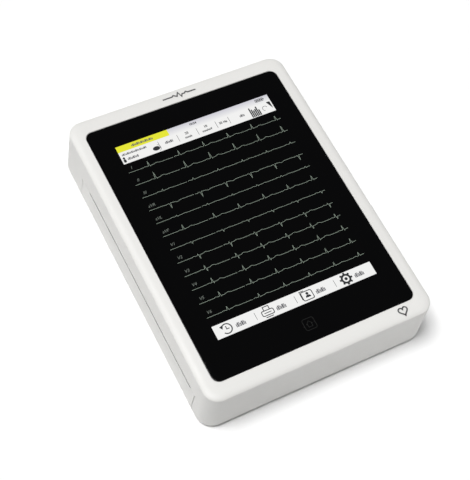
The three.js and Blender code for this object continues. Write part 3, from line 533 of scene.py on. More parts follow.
def dress(obj, slot_name, body="root", stands_for=(), look=None):
    """Gives a piece its material, which is the slot's look unless another look is given, puts it under
    its body, and hides the CAD nodes it stands for.
    """
    obj.data.materials.clear()
    obj.data.materials.append(look or LOOKS[slot_name])
    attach(obj, body)
    if stands_for:
        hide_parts(*stands_for)


def dress_cad_nodes():
    """Every CAD node gets its slot's material, small bevelled edges and smooth curves."""
    for part in frame["record"]["subparts"]:
        node = frame["nodes"][part["node"]]
        look = LOOKS[part["material_slot"]]
        if not node.material_slots:
            node.data.materials.append(look)
        for material_slot in node.material_slots:
            material_slot.material = look
        low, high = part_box(part["node"])
        soften(node, min(0.15 * MM, min(high - low) * 0.12))


# ---- The case --------


def flare_at(z):
    return FLARE * (SHOULDER_Z - z) / (SHOULDER_Z - FILLET_Z)


def wall_ring(z, inset):
    """The case's outline at a height, moved inwards."""
    return grown_ring(SHOULDER_HALF, CORNER, flare_at(z) - inset, z, steps=8)


def case_form(name):
    """The whole outer form: base fillet, flared wall, rounded shoulder and a faintly domed rim."""
    levels = []
    for turn in quarter_turn(8):
        grow = FLARE - BASE_FILLET * (1 - math.sin(turn))
        levels.append((grow, FILLET_Z - BASE_FILLET * math.cos(turn)))
    for turn in quarter_turn(20):
        z = SHOULDER_Z + (SHOULDER_DOWN - RIM_DOME) * math.sin(turn)
        levels.append((-SHOULDER_IN * (1 - math.cos(turn)), z))
    for share in (0.35, 0.7, 1.0):
        z = TOP_Z - RIM_DOME * (1 - share) ** 2
        levels.append((-SHOULDER_IN - share * RIM_WIDTH, z))
    return loft(name, [grown_ring(SHOULDER_HALF, CORNER, grow, z) for grow, z in levels])


def glass_recess():
    """The step that the glass lies in, with a small chamfer round its mouth."""
    edge = 0.6 * MM
    levels = (
        (0, LEDGE_Z),
        (0, TOP_Z - edge),
        (0.3 * edge, TOP_Z - 0.45 * edge),
        (edge, TOP_Z),
        (2 * edge, TOP_Z + edge),
    )
    rings = [grown_ring(GLASS_HALF, GLASS_RADIUS, GLASS_GAP + grow, z) for grow, z in levels]
    return loft("recess", rings)


def display_window():
    middle, half = box_of("display_module")
    margin = 1.5 * MM
    rings = [grown_ring(half, margin, margin, z, (0, middle.y), 6) for z in THROUGH_TOP]
    return loft("window", rings)


def cavity(top, inset, floor=0.0):
    """The room inside the case, between two heights."""
    return loft("cavity", [wall_ring(floor, inset), wall_ring(top, inset)])


def inlet_axis():
    return box_of("dc_inlet")[0].x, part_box("dc_inlet")[0].z + INLET_AXIS


def port_cut(node):
    """A hole through the rear wall round a socket, with a chamfered mouth."""
    middle, half = box_of(node)
    half = (half.x + PORT_PLAY, half.z + PORT_PLAY)
    chamfer = 0.5 * MM
    far = (PORT_FACE + 10 * MM, chamfer + 8 * MM)
    levels = ((THROUGH_REAR[0], 0), (PORT_FACE - chamfer, 0), (PORT_FACE, chamfer), far)
    outlines = [(grown_ring(half, 0.8 * MM, grow, 0, middle.xz, 4), y) for y, grow in levels]
    return loft("port_cut", [facing_y(outline, y) for outline, y in outlines])


def patient_cut():
    """The hole through the right wall round the patient socket."""
    middle, half = box_of("patient_connector")
    play = 0.8 * MM
    half = (half.y + play, half.z + play)
    mouth = RIGHT_X - 4 * MM + WALL
    far = (RIGHT_X + 6 * MM, 5 * MM)
    levels = ((THROUGH_RIGHT[0], 0), (mouth, 0), (mouth + 0.5 * MM, 0.5 * MM), far)
    outlines = [(grown_ring(half, 1.5 * MM, grow, 0, middle.yz, 5), x) for x, grow in levels]
    return loft("patient_cut", [facing_x(outline, x) for outline, x in outlines])


def screw_rods(name, radius, span, steps=32):
    return [rod(name, "z", radius, span, place, steps) for place in SCREW_PLACES]


def upper_housing():
    """The one-piece moulding: rim, shoulder and walls, hollow inside, with its bosses."""
    shell = case_form("upper_shell")
    bosses = screw_rods("boss", BOSS_RADIUS, (9 * MM, CEILING_Z + 1 * MM))
    below = box_object("below", (-FAR, -FAR, BELOW), (FAR, FAR, SPLIT_Z))
    combine(shell, [below, cavity(CEILING_Z, WALL)])
    combine(shell, bosses, "UNION")
    cuts = [glass_recess(), display_window()]
    cuts += screw_rods("pilot", PILOT_RADIUS, (8 * MM, 28 * MM), 16)
    for (y0, y1), top in ((DRAWER_Y, DRAWER_TOP), (SLOT_Y, SLOT_TOP)):
        cuts.append(box_object("room", (ROOM_X[0], y0, BELOW), (ROOM_X[1], y1, top)))
    cuts += [port_cut(node) for node in ("usb_port_1", "usb_port_2", "lan_port")]
    cuts.append(rod("inlet_cut", "y", 4.6 * MM, THROUGH_REAR, inlet_axis()))
    cuts.append(patient_cut())
    cuts.append(rod("button_cut", "x", 5.5 * MM, THROUGH_RIGHT, button_middle.yz, 48))
    combine(shell, cuts)
    shell.name = "upper_housing_shell"
    dress(smooth(shell), "case_plastic", stands_for=["upper_housing"])


def screw_hole(place):
    """A countersunk seat under the case for a screw's head, with the shank's hole above it."""
    head, shank = 3.3 * MM, 1.9 * MM
    shelf, top = 5 * MM, 10 * MM
    profile = [(0, -1 * MM), (head + 1 * MM, -1 * MM), (head + 0.7 * MM, BASE_Z)]
    profile += [(head, BASE_Z + 0.6 * MM), (head, shelf), (shank, shelf), (shank, top), (0, top)]
    return lathe("screw_hole", profile, origin=(*place, 0), steps=32)


def drawer_clearance():
    """What the drawer's front and finger pull need cut from the base."""
    x0, (y0, y1) = ROOM_X[0], DRAWER_Y
    top = 12 * MM
    side = 0.5 * MM
    reach = 1.9 * MM
    finger_low = (x0, FINGER_LOW.y - reach, BELOW)
    finger_high = (FINGER_HIGH.x + reach, FINGER_HIGH.y + reach, top)
    return [
        box_object("front", (x0, y0, BELOW), (LIP_X, y1, top)),
        box_object("rim_gap", (x0, y0 - side, FLOOR_Z), (DRAWER_BACK, y1 + side, top)),
        box_object("finger", finger_low, finger_high),
    ]


def battery_room():
    """The battery's room and the seat for its cover, its tab and its screw."""
    seat = Vector((LID_SEAT, LID_SEAT))
    lid_seat = (lid_high.x + LID_SEAT, BATTERY_HIGH.y + 1.4 * MM, lid_high.z + 0.1 * MM)
    reach = TAB_RADIUS + LID_SEAT
    tab_low = (LID_SCREW.x - reach, BATTERY_HIGH.y - 2 * MM, BELOW)
    tab_high = (LID_SCREW.x + reach, lid_high.y + LID_SEAT, lid_seat[2])
    return [
        box_object("battery", (*BATTERY_LOW.xy, BELOW), BATTERY_HIGH),
        box_object("lid", (*(lid_low.xy - seat), BELOW), lid_seat),
        box_object("tab", tab_low, tab_high),
        rod("tab_pilot", "z", 1.4 * MM, (2 * MM, 10 * MM), LID_SCREW, 16),
    ]


def foot_seats():
    seats = []
    for i in range(4):
        middle, half = box_of(f"foot_{i + 1}")
        seats.append(rod("foot_seat", "z", half.x + LID_SEAT, (BELOW, 3 * MM), middle.xy, 40))
    return seats


def lower_housing():
    """The base: a flat tray with a step that fits inside the walls, a battery bay and its vents."""
    form = case_form("lower_shell")
    combine(form, [box_object("above", (-FAR, -FAR, FLOOR_Z), (FAR, FAR, FAR))])
    inset = WALL + 0.3 * MM
    rim = cavity(7 * MM, inset, POST_FOOT)
    combine(rim, [cavity(9 * MM, inset + 1.5 * MM)])
    thickness = Vector((BAY_WALL, BAY_WALL, BAY_WALL))
    bay_low = Vector((*(BATTERY_LOW - thickness).xy, POST_FOOT))
    bay = box_object("bay", bay_low, BATTERY_HIGH + thickness)
    posts = screw_rods("post", BOSS_RADIUS, (POST_FOOT, 8.7 * MM))
    posts.append(rod("post", "z", 3.6 * MM, (POST_FOOT, 11 * MM), LID_SCREW))
    combine(form, [rim, bay, *posts], "UNION")
    cuts = drawer_clearance() + battery_room() + base_vents() + foot_seats()
    cuts.extend(screw_hole(place) for place in SCREW_PLACES)
    edge = Vector((0.4 * MM, 0.4 * MM))
    label_top = (*(plate_high.xy + edge), BASE_Z + 0.3 * MM)
    cuts.append(box_object("label", (*(plate_low.xy - edge), BELOW), label_top))
    combine(form, cuts)
    form.name = "lower_housing_shell"
    dress(smooth(form), "case_plastic", stands_for=["lower_housing"])


def slot_cutter(centre, half, z=(-0.01, 0.006)):
    """An upright slot with round ends, for a vent or a grille."""
    radius = min(half) * 0.98
    return loft("vent", [rounded_ring(half, radius, level, centre, 5) for level in z])


def base_vents():
    """Slots under the loudspeaker, and a row of cooling vents near the rear edge."""
    speaker = box_of("speaker")[0]
    cuts = []
    for i in range(-3, 4):
        cuts.append(slot_cutter((speaker.x + 4.4 * MM * i, speaker.y), (1.1 * MM, 13 * MM)))
    y, half_y = (VENT_Y[0] + VENT_Y[1]) / 2, (VENT_Y[1] - VENT_Y[0]) / 2
    for i in range(-5, 6):
        cuts.append(slot_cutter((6 * MM * i, y), (1.2 * MM, half_y)))
    return cuts


def paper_ramp():
    """The slope inside the drawer's top edge that guides the paper up to a thin lip at the slot."""
    lip_x = LIP - (SHOULDER_HALF.x + flare_at(SLOT_BOTTOM))
    foot_z = SLOT_BOTTOM - RAMP_DROP
    top_z = SLOT_BOTTOM + 1 * MM
    outline = [
        (lip_x, SLOT_BOTTOM),
        (lip_x + WALL - LIP, foot_z),
        (ROOM_X[1], foot_z),
        (ROOM_X[1], top_z),
        (lip_x, top_z),
    ]
    return loft("ramp", [[Vector((x, y, z)) for x, z in outline] for y in SLOT_Y])


def drawer_front():
    """The drawer's face: the bottom of the left wall with its fillet, and a finger pull behind."""
    skin = case_form("drawer_face")
    sides = (drawer_low.y + RELIEF, drawer_high.y - RELIEF)
    keep = box_object("keep", (ROOM_X[0], sides[0], BELOW), (DRAWER_BACK, sides[1], drawer_high.z))
    combine(skin, [keep], "INTERSECT")
    above = 60 * MM
    inner = cavity(above, WALL, FLOOR_Z)
    lip = box_object("lip", (LIP_X - SEAM, -FAR, BELOW), (0, FAR, above))
    slot = box_object("slot", (ROOM_X[0], SLOT_Y[0], SLOT_BOTTOM), (0, SLOT_Y[1], above))
    play = Vector((SEAM, SEAM, SEAM))
    low, high = FINGER_LOW - play, FINGER_HIGH + play
    grip = box_object("grip", (low.x, low.y, BELOW), (0, high.y, high.z))
    combine(skin, [inner, lip, slot, grip, paper_ramp()])
    wall = 1.3 * MM
    start = (low.x - 2 * SEAM, low.y - wall, BASE_Z + 0.5 * MM)
    pocket = box_object("pocket", start, high + Vector((wall, wall, wall)))
    combine(pocket, [box_object("hollow", (low.x - 3 * SEAM, low.y, BELOW), high)])
    combine(skin, [pocket], "UNION")
    skin.name = "drawer_face"
    dress(smooth(skin), "case_plastic", "drawer", ["drawer_front"])


def battery_lid():
    """The battery cover, with ribs for a thumb and a dished seat for its screw."""
    far_corner = Vector((lid_high.x, lid_high.y - TAB_LENGTH))
    half = (far_corner - lid_low.xy) / 2
    centre = (far_corner + lid_low.xy) / 2
    chamfer = 0.3 * MM
    rings = [
        rounded_ring(half - Vector((chamfer, chamfer)), 0.8 * MM, lid_low.z, centre, 5),
        rounded_ring(half, 1 * MM, lid_low.z + chamfer, centre, 5),
        rounded_ring(half, 1 * MM, lid_high.z, centre, 5),
    ]
    lid = loft("battery_lid", rings)
    tab_half = (TAB_RADIUS, 8 * MM)
    tab_centre = (LID_SCREW.x, lid_high.y - tab_half[1])
    levels = (lid_low.z, lid_high.z)
    tongue = loft("tongue", [rounded_ring(tab_half, 2 * MM, z, tab_centre, 6) for z in levels])
    combine(lid, [tongue], "UNION")
    cuts = [
        rod("dish", "z", 3 * MM, (BELOW, lid_low.z + 1 * MM), LID_SCREW),
        rod("pilot", "z", PILOT_RADIUS, (BELOW, lid_high.z + 1 * MM), LID_SCREW, 20),
    ]
    span = (BELOW, lid_low.z + 0.6 * MM)
    for i in range(7):
        half_length = 13 * MM - abs(i - 3) * 1.5 * MM
        place = (LID_SCREW.x, RIBS_Y + 4 * MM * i)
        cuts.append(slot_cutter(place, (half_length, 1 * MM), span))
    combine(lid, cuts)
    dress(smooth(lid), "case_plastic", stands_for=["battery_cover"])


def rubber_feet():
    """Turned rubber feet with a soft edge and two rings in the face that touches the table."""
    edge = 0.8 * MM
    groove = 0.35 * MM
    for i in range(4):
        name = f"foot_{i + 1}"
        middle, half = box_of(name)
        radius, top = half.x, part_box(name)[1].z
        rings = [(0, groove), (1.6 * MM, groove), (1.9 * MM, 0), (3.2 * MM, 0)]
        rings += [(3.5 * MM, groove), (4.1 * MM, groove), (4.4 * MM, 0)]
        rim = [(radius - edge, 0), (radius - edge * 0.3, edge * 0.3), (radius, edge)]
        profile = [*rings, *rim, (radius, top), (0, top)]
        foot = lathe(f"rubber_{name}", profile, origin=(middle.x, middle.y, 0), steps=64)
        dress(smooth(foot), "rubber", stands_for=[name])


def glass_sheet():
    """The cover glass, with a ground and polished edge."""
    grind = 0.35 * MM
    levels = [(-grind, glass_low.z), (0, glass_low.z + grind)]
    for turn in quarter_turn(3):
        z = glass_high.z - grind * (1 - math.sin(turn))
        levels.append((-grind * (1 - math.cos(turn)), z))
    sheet = loft("front_glass", [grown_ring(GLASS_HALF, GLASS_RADIUS, *level) for level in levels])
    dress(smooth(sheet), "cover_glass", stands_for=["cover_glass"])


# ---- Sockets, button and label --------


def contacts(name, centre, size, count, pitch):
    """A row of gold contact strips along x."""
    strips = []
    for i in range(count):
        middle = centre + Vector(((i - (count - 1) / 2) * pitch, 0, 0))
        strips.append(box_object("strip", middle - size / 2, middle + size / 2))
    dress(join(name, strips), "gold_film")


def rear_sockets():
    """Tongues and contacts in the USB and network sockets, and the power socket's pin."""
    cover = 0.06 * MM
    for i in (1, 2):
        low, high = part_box(f"usb_port_{i}")
        middle = (low.x + high.x) / 2
        reach = 5 * MM + cover
        start = Vector((middle - reach, high.y - 13 * MM, low.z + 3.2 * MM - cover))
        end = Vector((middle + reach, high.y - 2 * MM + cover, low.z + 4.6 * MM + cover))
        dress(soften(box_object(f"usb_tongue_{i}", start, end), 0.2 * MM), "black_plastic")
        centre = Vector((middle, high.y - 6 * MM, low.z + 3.1 * MM))
        contacts(f"usb_contacts_{i}", centre, Vector((1.0, 7.4, 0.16)) * MM, 4, 2.2 * MM)
    low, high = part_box("lan_port")
    centre = Vector(((low.x + high.x) / 2, high.y - 8 * MM, high.z - 2.6 * MM))
    contacts("lan_contacts", centre, Vector((0.45, 12, 0.3)) * MM, 8, 1.02 * MM)
    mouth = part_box("dc_inlet")[1].y
    span = (mouth - 11.9 * MM, mouth - 0.9 * MM)
    dress(smooth(rod("power_pin", "y", 1.04 * MM, span, inlet_axis(), 24)), "zinc_steel")


def patient_socket():
    """A plated D-shaped shell and two jack nuts round the patient cable's socket."""
    middle, half = box_of("patient_connector")
    face = middle.x + half.x
    inner = face - 2.2 * MM

    def shell_form(name, radius, grow, span):
        ring = grown_ring(PLUG_HALF, radius - grow, grow, 0, middle.yz, 6)
        return loft(name, [facing_x(ring, x) for x in span])

    shell = shell_form("patient_socket_shell", 1.6 * MM, 0, (inner - 1 * MM, face + 0.1 * MM))
    combine(shell, [shell_form("opening", 1.2 * MM, -PLUG_WALL, THROUGH_RIGHT)])
    dress(smooth(shell), "zinc_steel")
    nuts = []
    for side in (-1, 1):
        place = (middle.y + side * JACK_NUT, middle.z)
        nut = rod("nut", "x", 2.75 * MM, (inner - 1 * MM, face), place, 6)
        nuts.append(combine(nut, [rod("thread", "x", 1.3 * MM, (inner, THROUGH_RIGHT[1]), place, 24)]))
    dress(soften(join("jack_nuts", nuts), 0.15 * MM), "zinc_steel")


def power_switch_cap():
    """The power button: a cap with a round edge and a collar inside the wall, and its sign."""
    y, z = button_middle.yz
    back, face = button_middle.x - button_half.x, button_middle.x + button_half.x
    collar = button_half.y
    edge = 0.7 * MM
    profile = [(0, back), (BUTTON_RADIUS, back), (BUTTON_RADIUS, COLLAR_X[0])]
    profile += [(collar, COLLAR_X[0]), (collar, COLLAR_X[1]), (BUTTON_RADIUS, COLLAR_X[1])]
    for turn in quarter_turn(4):
        radius = BUTTON_RADIUS - edge * (1 - math.cos(turn))
        profile.append((radius, face - edge * (1 - math.sin(turn))))
    profile.append((0, face))
    cap = lathe("power_button_cap", profile, "x", (0, y, z), 64)
    dress(smooth(cap), "case_plastic", "power_button", ["power_button"])
    sign = Print("power_sign", 1, 0)
    sign.arc(0, 0, 2.2, 0.5, 125, 415, 28)
    sign.line([(0, 0.4), (0, 3.0)], 0.5)
    obj = sign.finish("case_plastic", printed_mark("sign_print", srgb(70, 110, 84)), "power_button")
    obj.data.transform(Matrix(((0, 0, 1, face), (1, 0, 0, y), (0, 1, 0, z), (0, 0, 0, 1))))


def rating_rules():
    """Plain ruled lines on the rating plate, with no words."""
    rules = Print("rating_rules", 1, plate_low.z - LAYER)
    margin = 3
    x0, y0 = [value / MM + margin for value in plate_low.xy]
    x1, y1 = [value / MM - margin for value in plate_high.xy]
    rules.frame(x0, y0, x1, y1, 0.3)
    for i in range(1, 5):
        y = y0 + (y1 - y0) * i / 5
        rules.line([(x0 + margin, y), (x1 - margin, y)], 0.25)
    rules.finish("label_film", printed_mark("rule_print", srgb(60, 62, 66)))


# ---- The printer: roller, head springs and paper --------

SPRING_TURNS = 5
SPRING_WIRE = 0.45 * MM
ROLLER_Y = (roller_middle.y - roller_half.y, roller_middle.y + roller_half.y)
SHEETS = 17
PAPER_LIFT = 0.06 * MM
PAPER_THICKNESS = 0.09 * MM
PAPER_END = -111.6 * MM
WRAP_STEPS = 18  # points from 5 to 90 degrees round the roller


def platen():
    """The rubber roller under the print head, with chamfered ends."""
    radius = roller_half.x
    chamfer = 0.5 * MM
    y0, y1 = ROLLER_Y
    profile = [(0, y0), (radius - chamfer, y0), (radius, y0 + chamfer), (radius, y1 - chamfer)]
    profile += [(radius - chamfer, y1), (0, y1)]
    axis = (roller_middle.x, 0, roller_middle.z)
    roller = lathe("rubber_roller", profile, "y", axis, 96)
    dress(smooth(roller), "rubber", "platen", ["platen_roller"])


def coil(name, low, high):
    """A wound compression spring that fills a box."""
    radius = (high.x - low.x) / 2 - SPRING_WIRE
    foot = Vector(((low.x + high.x) / 2, (low.y + high.y) / 2, low.z + SPRING_WIRE))
    rise = high.z - low.z - 2 * SPRING_WIRE
    up = Vector((0, 0, 1))
    steps = SPRING_TURNS * 24
    rings = []
    for i in range(steps + 1):
        angle = 2 * math.pi * SPRING_TURNS * i / steps
        outward = Vector((math.cos(angle), math.sin(angle), 0))
        middle = foot + outward * radius + up * (rise * i / steps)
        section = [(outward * math.cos(a) + up * math.sin(a)) * SPRING_WIRE for a in circle(10)]
        rings.append([middle + point for point in section])
    return loft(name, rings)


def head_springs():
    """The two springs under the crossbar, wound as fixed coils; on the machine they shorten as the
    print head turns up, but here they keep their length.
    """
    for node in ("head_spring_1", "head_spring_2"):
        low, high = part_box(node)
        spring = smooth(coil(f"wound_{node}", low, high))
        dress(spring, "zinc_steel", "root", [node])
        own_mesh(spring)


def folded_pack():
    """The fan-folded pack: sheets that lie a little unevenly on each other."""
    sheets = []
    step = (pack_high.z - pack_low.z) / SHEETS
    slip = 0.35 * MM
    for i in range(SHEETS):
        low = Vector((pack_low.x, pack_low.y, pack_low.z + step * i))
        high = Vector((pack_high.x, pack_high.y, low.z + step * 0.86))
        shift = slip * 0.5 * (1 + math.sin(2.4 * i))
        low += Vector((shift, slip * (i % 2), 0))
        high -= Vector((slip - shift, slip * ((i + 1) % 2), 0))
        sheets.append(box_object("sheet", low, high))
    dress(join("folded_sheets", sheets), "thermal_paper", "drawer", ["paper_pack"])


def paper_lead():
    """The loose end of the paper: off the pack, over the tray's edge and the roller, to the slot."""
    radius = roller_half.x + PAPER_LIFT
    path = [
        Vector((pack_low.x + 14 * MM, pack_high.z + 0.02 * MM)),
        Vector((pack_low.x + 7 * MM, pack_high.z + 0.6 * MM)),
        Vector((pack_low.x - 0.2 * MM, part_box("paper_tray")[1].z - 9 * MM)),
    ]
    for i in range(WRAP_STEPS + 1):
        turn = math.radians(5 + 85 * i / WRAP_STEPS)
        outward = Vector((math.cos(turn), math.sin(turn)))
        path.append(roller_middle.xz + outward * radius)
    path.append(Vector((PAPER_END, path[-1].y + 0.02 * MM)))
    outer = []
    for i, point in enumerate(path):
        along = path[min(i + 1, len(path) - 1)] - path[max(i - 1, 0)]
        side = Vector((along.y, -along.x)).normalized()
        outer.append(point + side * PAPER_THICKNESS)
    outline = path + outer[::-1]
    lead = loft("paper_lead", [facing_y(outline, y) for y in (pack_low.y, pack_high.y)])
    dress(smooth(lead), "thermal_paper", "drawer")


# ---- The picture on the display --------
# Places are in millimetres from the middle of the glass, x to the right and y to the top.

LAYER = 0.02 * MM
cell_border = Vector((5.5 * MM, 4.1 * MM))
ACTIVE_LEFT = (cell_low.x + cell_border.x) / MM
ACTIVE_RIGHT = (cell_high.x - cell_border.x) / MM
ACTIVE_BOTTOM = (cell_low.y + cell_border.y) / MM
ACTIVE_TOP = (cell_high.y - cell_border.y) / MM
HEADER_HEIGHT = 19.8
BAR_HEIGHT = 13.2
HEADER_Y = ACTIVE_TOP - HEADER_HEIGHT
BAR_TOP = ACTIVE_BOTTOM + BAR_HEIGHT


def srgb(red, green, blue):
    """A linear colour from the 0 to 255 values that a screen shows."""
    shares = [value / 255 for value in (red, green, blue)]
    return tuple(s / 12.92 if s <= 0.04045 else ((s + 0.055) / 1.055) ** 2.4 for s in shares)


def rounded_outline(x0, y0, x1, y1, radius, steps):
    half, centre = ((x1 - x0) / 2, (y1 - y0) / 2), ((x0 + x1) / 2, (y0 + y1) / 2)
    return [p.xy for p in rounded_ring(half, radius, 0, centre, steps)]


def round_points(x, y, wide, high, turns):
    return [(x + wide * math.cos(a), y + high * math.sin(a)) for a in turns]


class Print:
    """Flat shapes of one colour, gathered as thin solids on one level above a surface."""

    def __init__(self, name, level, surface=GLASS_Z):
        self.name = name
        self.bm = bmesh.new()
        self.low = surface + (level - 1) * LAYER
        self.high = surface + level * LAYER

    def polygon(self, points):
        heights = (self.low, self.high)
        low, high = [[self.bm.verts.new((x * MM, y * MM, z)) for x, y in points] for z in heights]
        self.bm.faces.new(low)
        self.bm.faces.new(high)
        for i in range(len(points)):
            j = (i + 1) % len(points)
            self.bm.faces.new((low[i], low[j], high[j], high[i]))

    def rectangle(self, x0, y0, x1, y1, radius=0.0):
        if radius:
            self.polygon(rounded_outline(x0, y0, x1, y1, radius, 5))
        else:
            self.polygon([(x0, y0), (x1, y0), (x1, y1), (x0, y1)])

    def divider(self, x, y0, y1):
        self.rectangle(x - 0.2, y0, x + 0.2, y1)

    def ellipse(self, x, y, wide, high):
        self.polygon(round_points(x, y, wide, high, circle(24)))

    def line(self, points, width, closed=False):
        """A ribbon of even width along a path, mitred at its corners."""
        path = [Vector(p) for p in points]
        count = len(path)
        left, right = [], []
        for i, point in enumerate(path):
            turns = []
            if i or closed:
                turns.append((point - path[i - 1]).normalized())
            if i < count - 1 or closed:
                turns.append((path[(i + 1) % count] - point).normalized())
            along = sum(turns, Vector((0, 0))).normalized()
            side = Vector((-along.y, along.x))
            spread = width / 2 / max(0.5, side.dot(Vector((-turns[0].y, turns[0].x))))
            left.append(point + side * spread)
            right.append(point - side * spread)
        for i in range(count if closed else count - 1):
            j = (i + 1) % count
            self.polygon([left[i], right[i], right[j], left[j]])

    def arc(self, x, y, radius, width, start=0, end=360, steps=36):
        turns = [math.radians(start + (end - start) * i / steps) for i in range(steps + 1)]
        closed = end - start == 360
        if closed:
            turns.pop()
        self.line(round_points(x, y, radius, radius, turns), width, closed)

    def frame(self, x0, y0, x1, y1, width, radius=1.0):
        self.line(rounded_outline(x0, y0, x1, y1, radius, 4), width, True)

    def words(self, x0, x1, y, height):
        """A run of short blocks that stands for unreadable small print."""
        widths = (0.8, 1.3, 0.6, 1.0, 1.5, 0.7)
        gap = 0.4
        x, i = x0, 0
        while x < x1:
            wide = min(widths[i % len(widths)], x1 - x)
            tall = height * (1.0 if i % 3 else 0.72)
            if wide > 0.3:
                self.rectangle(x, y - height / 2, x + wide, y - height / 2 + tall)
            x += wide + gap
            i += 1

    def text(self, body, x, y, size, slant=0.0, weight=0.12):
        """Generic numbers and units in the built-in font, centred on a place."""
        curve = bpy.data.curves.new("text", "FONT")
        curve.body = body
        curve.size = size * MM
        curve.shear = slant
        curve.offset = weight * MM
        curve.align_x = curve.align_y = "CENTER"
        curve.resolution_u = 2
        curve.extrude = LAYER / 2
        letters = bpy.data.objects.new("text", curve)
        mesh = bpy.data.meshes.new_from_object(letters)
        mesh.transform(Matrix.Translation((x * MM, y * MM, (self.low + self.high) / 2)))
        self.bm.from_mesh(mesh)
        for data, owner in ((letters, bpy.data.objects), (curve, bpy.data.curves)):
            owner.remove(data)
        bpy.data.meshes.remove(mesh)

    def finish(self, slot_name, look, body="root"):
        bmesh.ops.remove_doubles(self.bm, verts=self.bm.verts, dist=1e-7)
        obj = from_bmesh(self.name, self.bm)
        dress(obj, slot_name, body, look=look)
        return obj

    def light(self, colour_name, *colour, fade=None):
        """Finishes a part of the lit display."""
        self.finish("display_light", lit_ink(colour_name, srgb(*colour), fade))


LEADS = {
    # name: height of R, depth of S, height of T, in millimetres
    "I": (5.4, 0.6, 0.9),
    "II": (7.6, 0.7, 1.2),
    "III": (1.9, 0.4, 0.4),
    "aVR": (-5.8, -0.4, -0.9),
    "aVL": (1.2, 0.6, 0.3),
    "aVF": (5.0, 0.5, 0.8),
    "V1": (0.5, 2.0, 0.3),
    "V2": (1.4, 4.2, 0.9),
    "V3": (3.6, 3.0, 1.1),
    "V4": (4.8, 1.2, 1.1),
    "V5": (4.8, 0.7, 0.9),
    "V6": (3.7, 0.4, 0.7),
}
FIRST_BASELINE = 81.2
LEAD_PITCH = 14.47
BEAT_PITCH = 25.4
LAST_BEAT = 74.0
OLD_BEAT = -58.6
SWEEP_X = -34.0
SWEEP_GAP = 1.2
TRACE_WIDTH = 0.28


def heartbeat(offset, tall, deep, after):
    """The height of one beat's curve at a distance from the top of its R wave."""
    def hump(middle, wide):
        return math.exp(-(((offset - middle) / wide) ** 2))
    curve = 0.45 * hump(-4.2, 1.2) * (1 if tall > 0 else -1)
    curve += tall * max(0.0, 1 - abs(offset) / 0.75)
    curve -= deep * max(0.0, 1 - abs(offset - 0.95) / 0.6)
    return curve + after * hump(7.4, 2.1)


def trace_points(x0, x1, beats, baseline, lead):
    points = []
    steps = int((x1 - x0) / 0.25)
    for i in range(steps + 1):
        x = x0 + (x1 - x0) * i / steps
        points.append((x, baseline + sum(heartbeat(x - beat, *lead) for beat in beats)))
    return points


def traces():
    """Twelve leads drawn by a sweep that is part way across, and their names."""
    curves, names = Print("screen_traces", 1), Print("screen_lead_names", 1)
    beats = [LAST_BEAT - BEAT_PITCH * i for i in range(5)]
    before = (ACTIVE_LEFT + 0.3, SWEEP_X - SWEEP_GAP / 2, [OLD_BEAT])
    after = (SWEEP_X + SWEEP_GAP / 2, ACTIVE_RIGHT - 0.3, beats)
    for row, (name, lead) in enumerate(LEADS.items()):
        baseline = FIRST_BASELINE - LEAD_PITCH * row
        for x0, x1, pulses in (before, after):
            curves.line(trace_points(x0, x1, pulses, baseline, lead), TRACE_WIDTH)
        names.text(name, ACTIVE_LEFT + 4.6, baseline + 4.4, 4.2, 0.25, 0.0)
    curves.light("trace_light", 158, 172, 158)
    names.light("lead_name_light", 112, 118, 112)


def top_line(white, yellow, ink, grey):
    """The upper line of the status bar: patient tab, clock and battery."""
    y = ACTIVE_TOP - 3.2
    white.rectangle(ACTIVE_LEFT, HEADER_Y, ACTIVE_RIGHT, ACTIVE_TOP)
    yellow.rectangle(ACTIVE_LEFT, ACTIVE_TOP - 6.6, -27, ACTIVE_TOP)
    grey.words(-64.5, -42.7, y - 0.1, 2.6)
    ink.text("10:24", -1.5, y, 3.4)
    ink.frame(65, y - 1.5, 73.2, y + 1.5, 0.45, 0.5)
    ink.rectangle(73.5, y - 0.7, 74.2, y + 0.7)
    for i in range(4):
        ink.rectangle(65.8 + 1.8 * i, y - 0.9, 67.1 + 1.8 * i, y + 0.9)


def settings_line(ink, grey):
    """The lower line: the patient, and the settings between thin dividers."""
    y = HEADER_Y + 7.0
    grey.words(-77, -52.5, y + 2.8, 2.2)
    ink.ellipse(-76.6, y - 0.9, 1.1, 1.2)
    ink.rectangle(-77.9, y - 5.6, -75.3, y - 2.2, 0.9)
    grey.words(-73.6, -62.8, y - 2.8, 2.6)
    ink.ellipse(-44.4, y - 2.4, 3.5, 2.3)
    grey.arc(-44.4, y - 2.4, 4.3, 0.4, -60, 60, 12)
    for x in (-40.5, -21.0, -1.0, 18.8, 32.3):
        grey.divider(x, y - 4, y + 3.8)
    for x0, x1 in ((-34.5, -26.0), (43.5, 48.9)):
        grey.words(x0, x1, y, 2.8)
    for x, number, unit in ((-11.2, "25", "mm/s"), (8.4, "10", "mm/mV")):
        ink.text(number, x, y + 2.2, 3.6)
        ink.text(unit, x, y - 2.1, 3.2)
    ink.text("35 Hz", 25.8, y, 3.4)
    for i, tall in enumerate((11.2, 9.0, 7.4, 8.4, 10.6, 6.6)):
        ink.rectangle(54.6 + 1.75 * i, y - 6.4, 55.9 + 1.75 * i, y - 6.4 + tall)
    grey.arc(70.4, y - 1.2, 2.6, 0.5, 20, 250, 14)
    ink.polygon([(74.0, y + 4.8), (77.9, y + 4.8), (77.9, y - 3.6)])


def shifted(x, y, points):
    return [(x + dx, y + dy) for dx, dy in points]


def history_icon(ink, x, y):
    """A clock face with an arrow that turns back."""
    radius, gap = 4.6, 140
    ink.arc(x, y, radius, 1.0, -gap, gap, 28)
    (end,) = round_points(x, y, radius, radius, [math.radians(gap)])
    ink.polygon(shifted(*end, [(-2.2, 0.4), (1.6, 1.6), (-0.2, -2.4)]))
    ink.line(shifted(x, y, [(-0.2, 2.6), (-0.2, -0.3), (2.4, -0.3)]), 0.8)


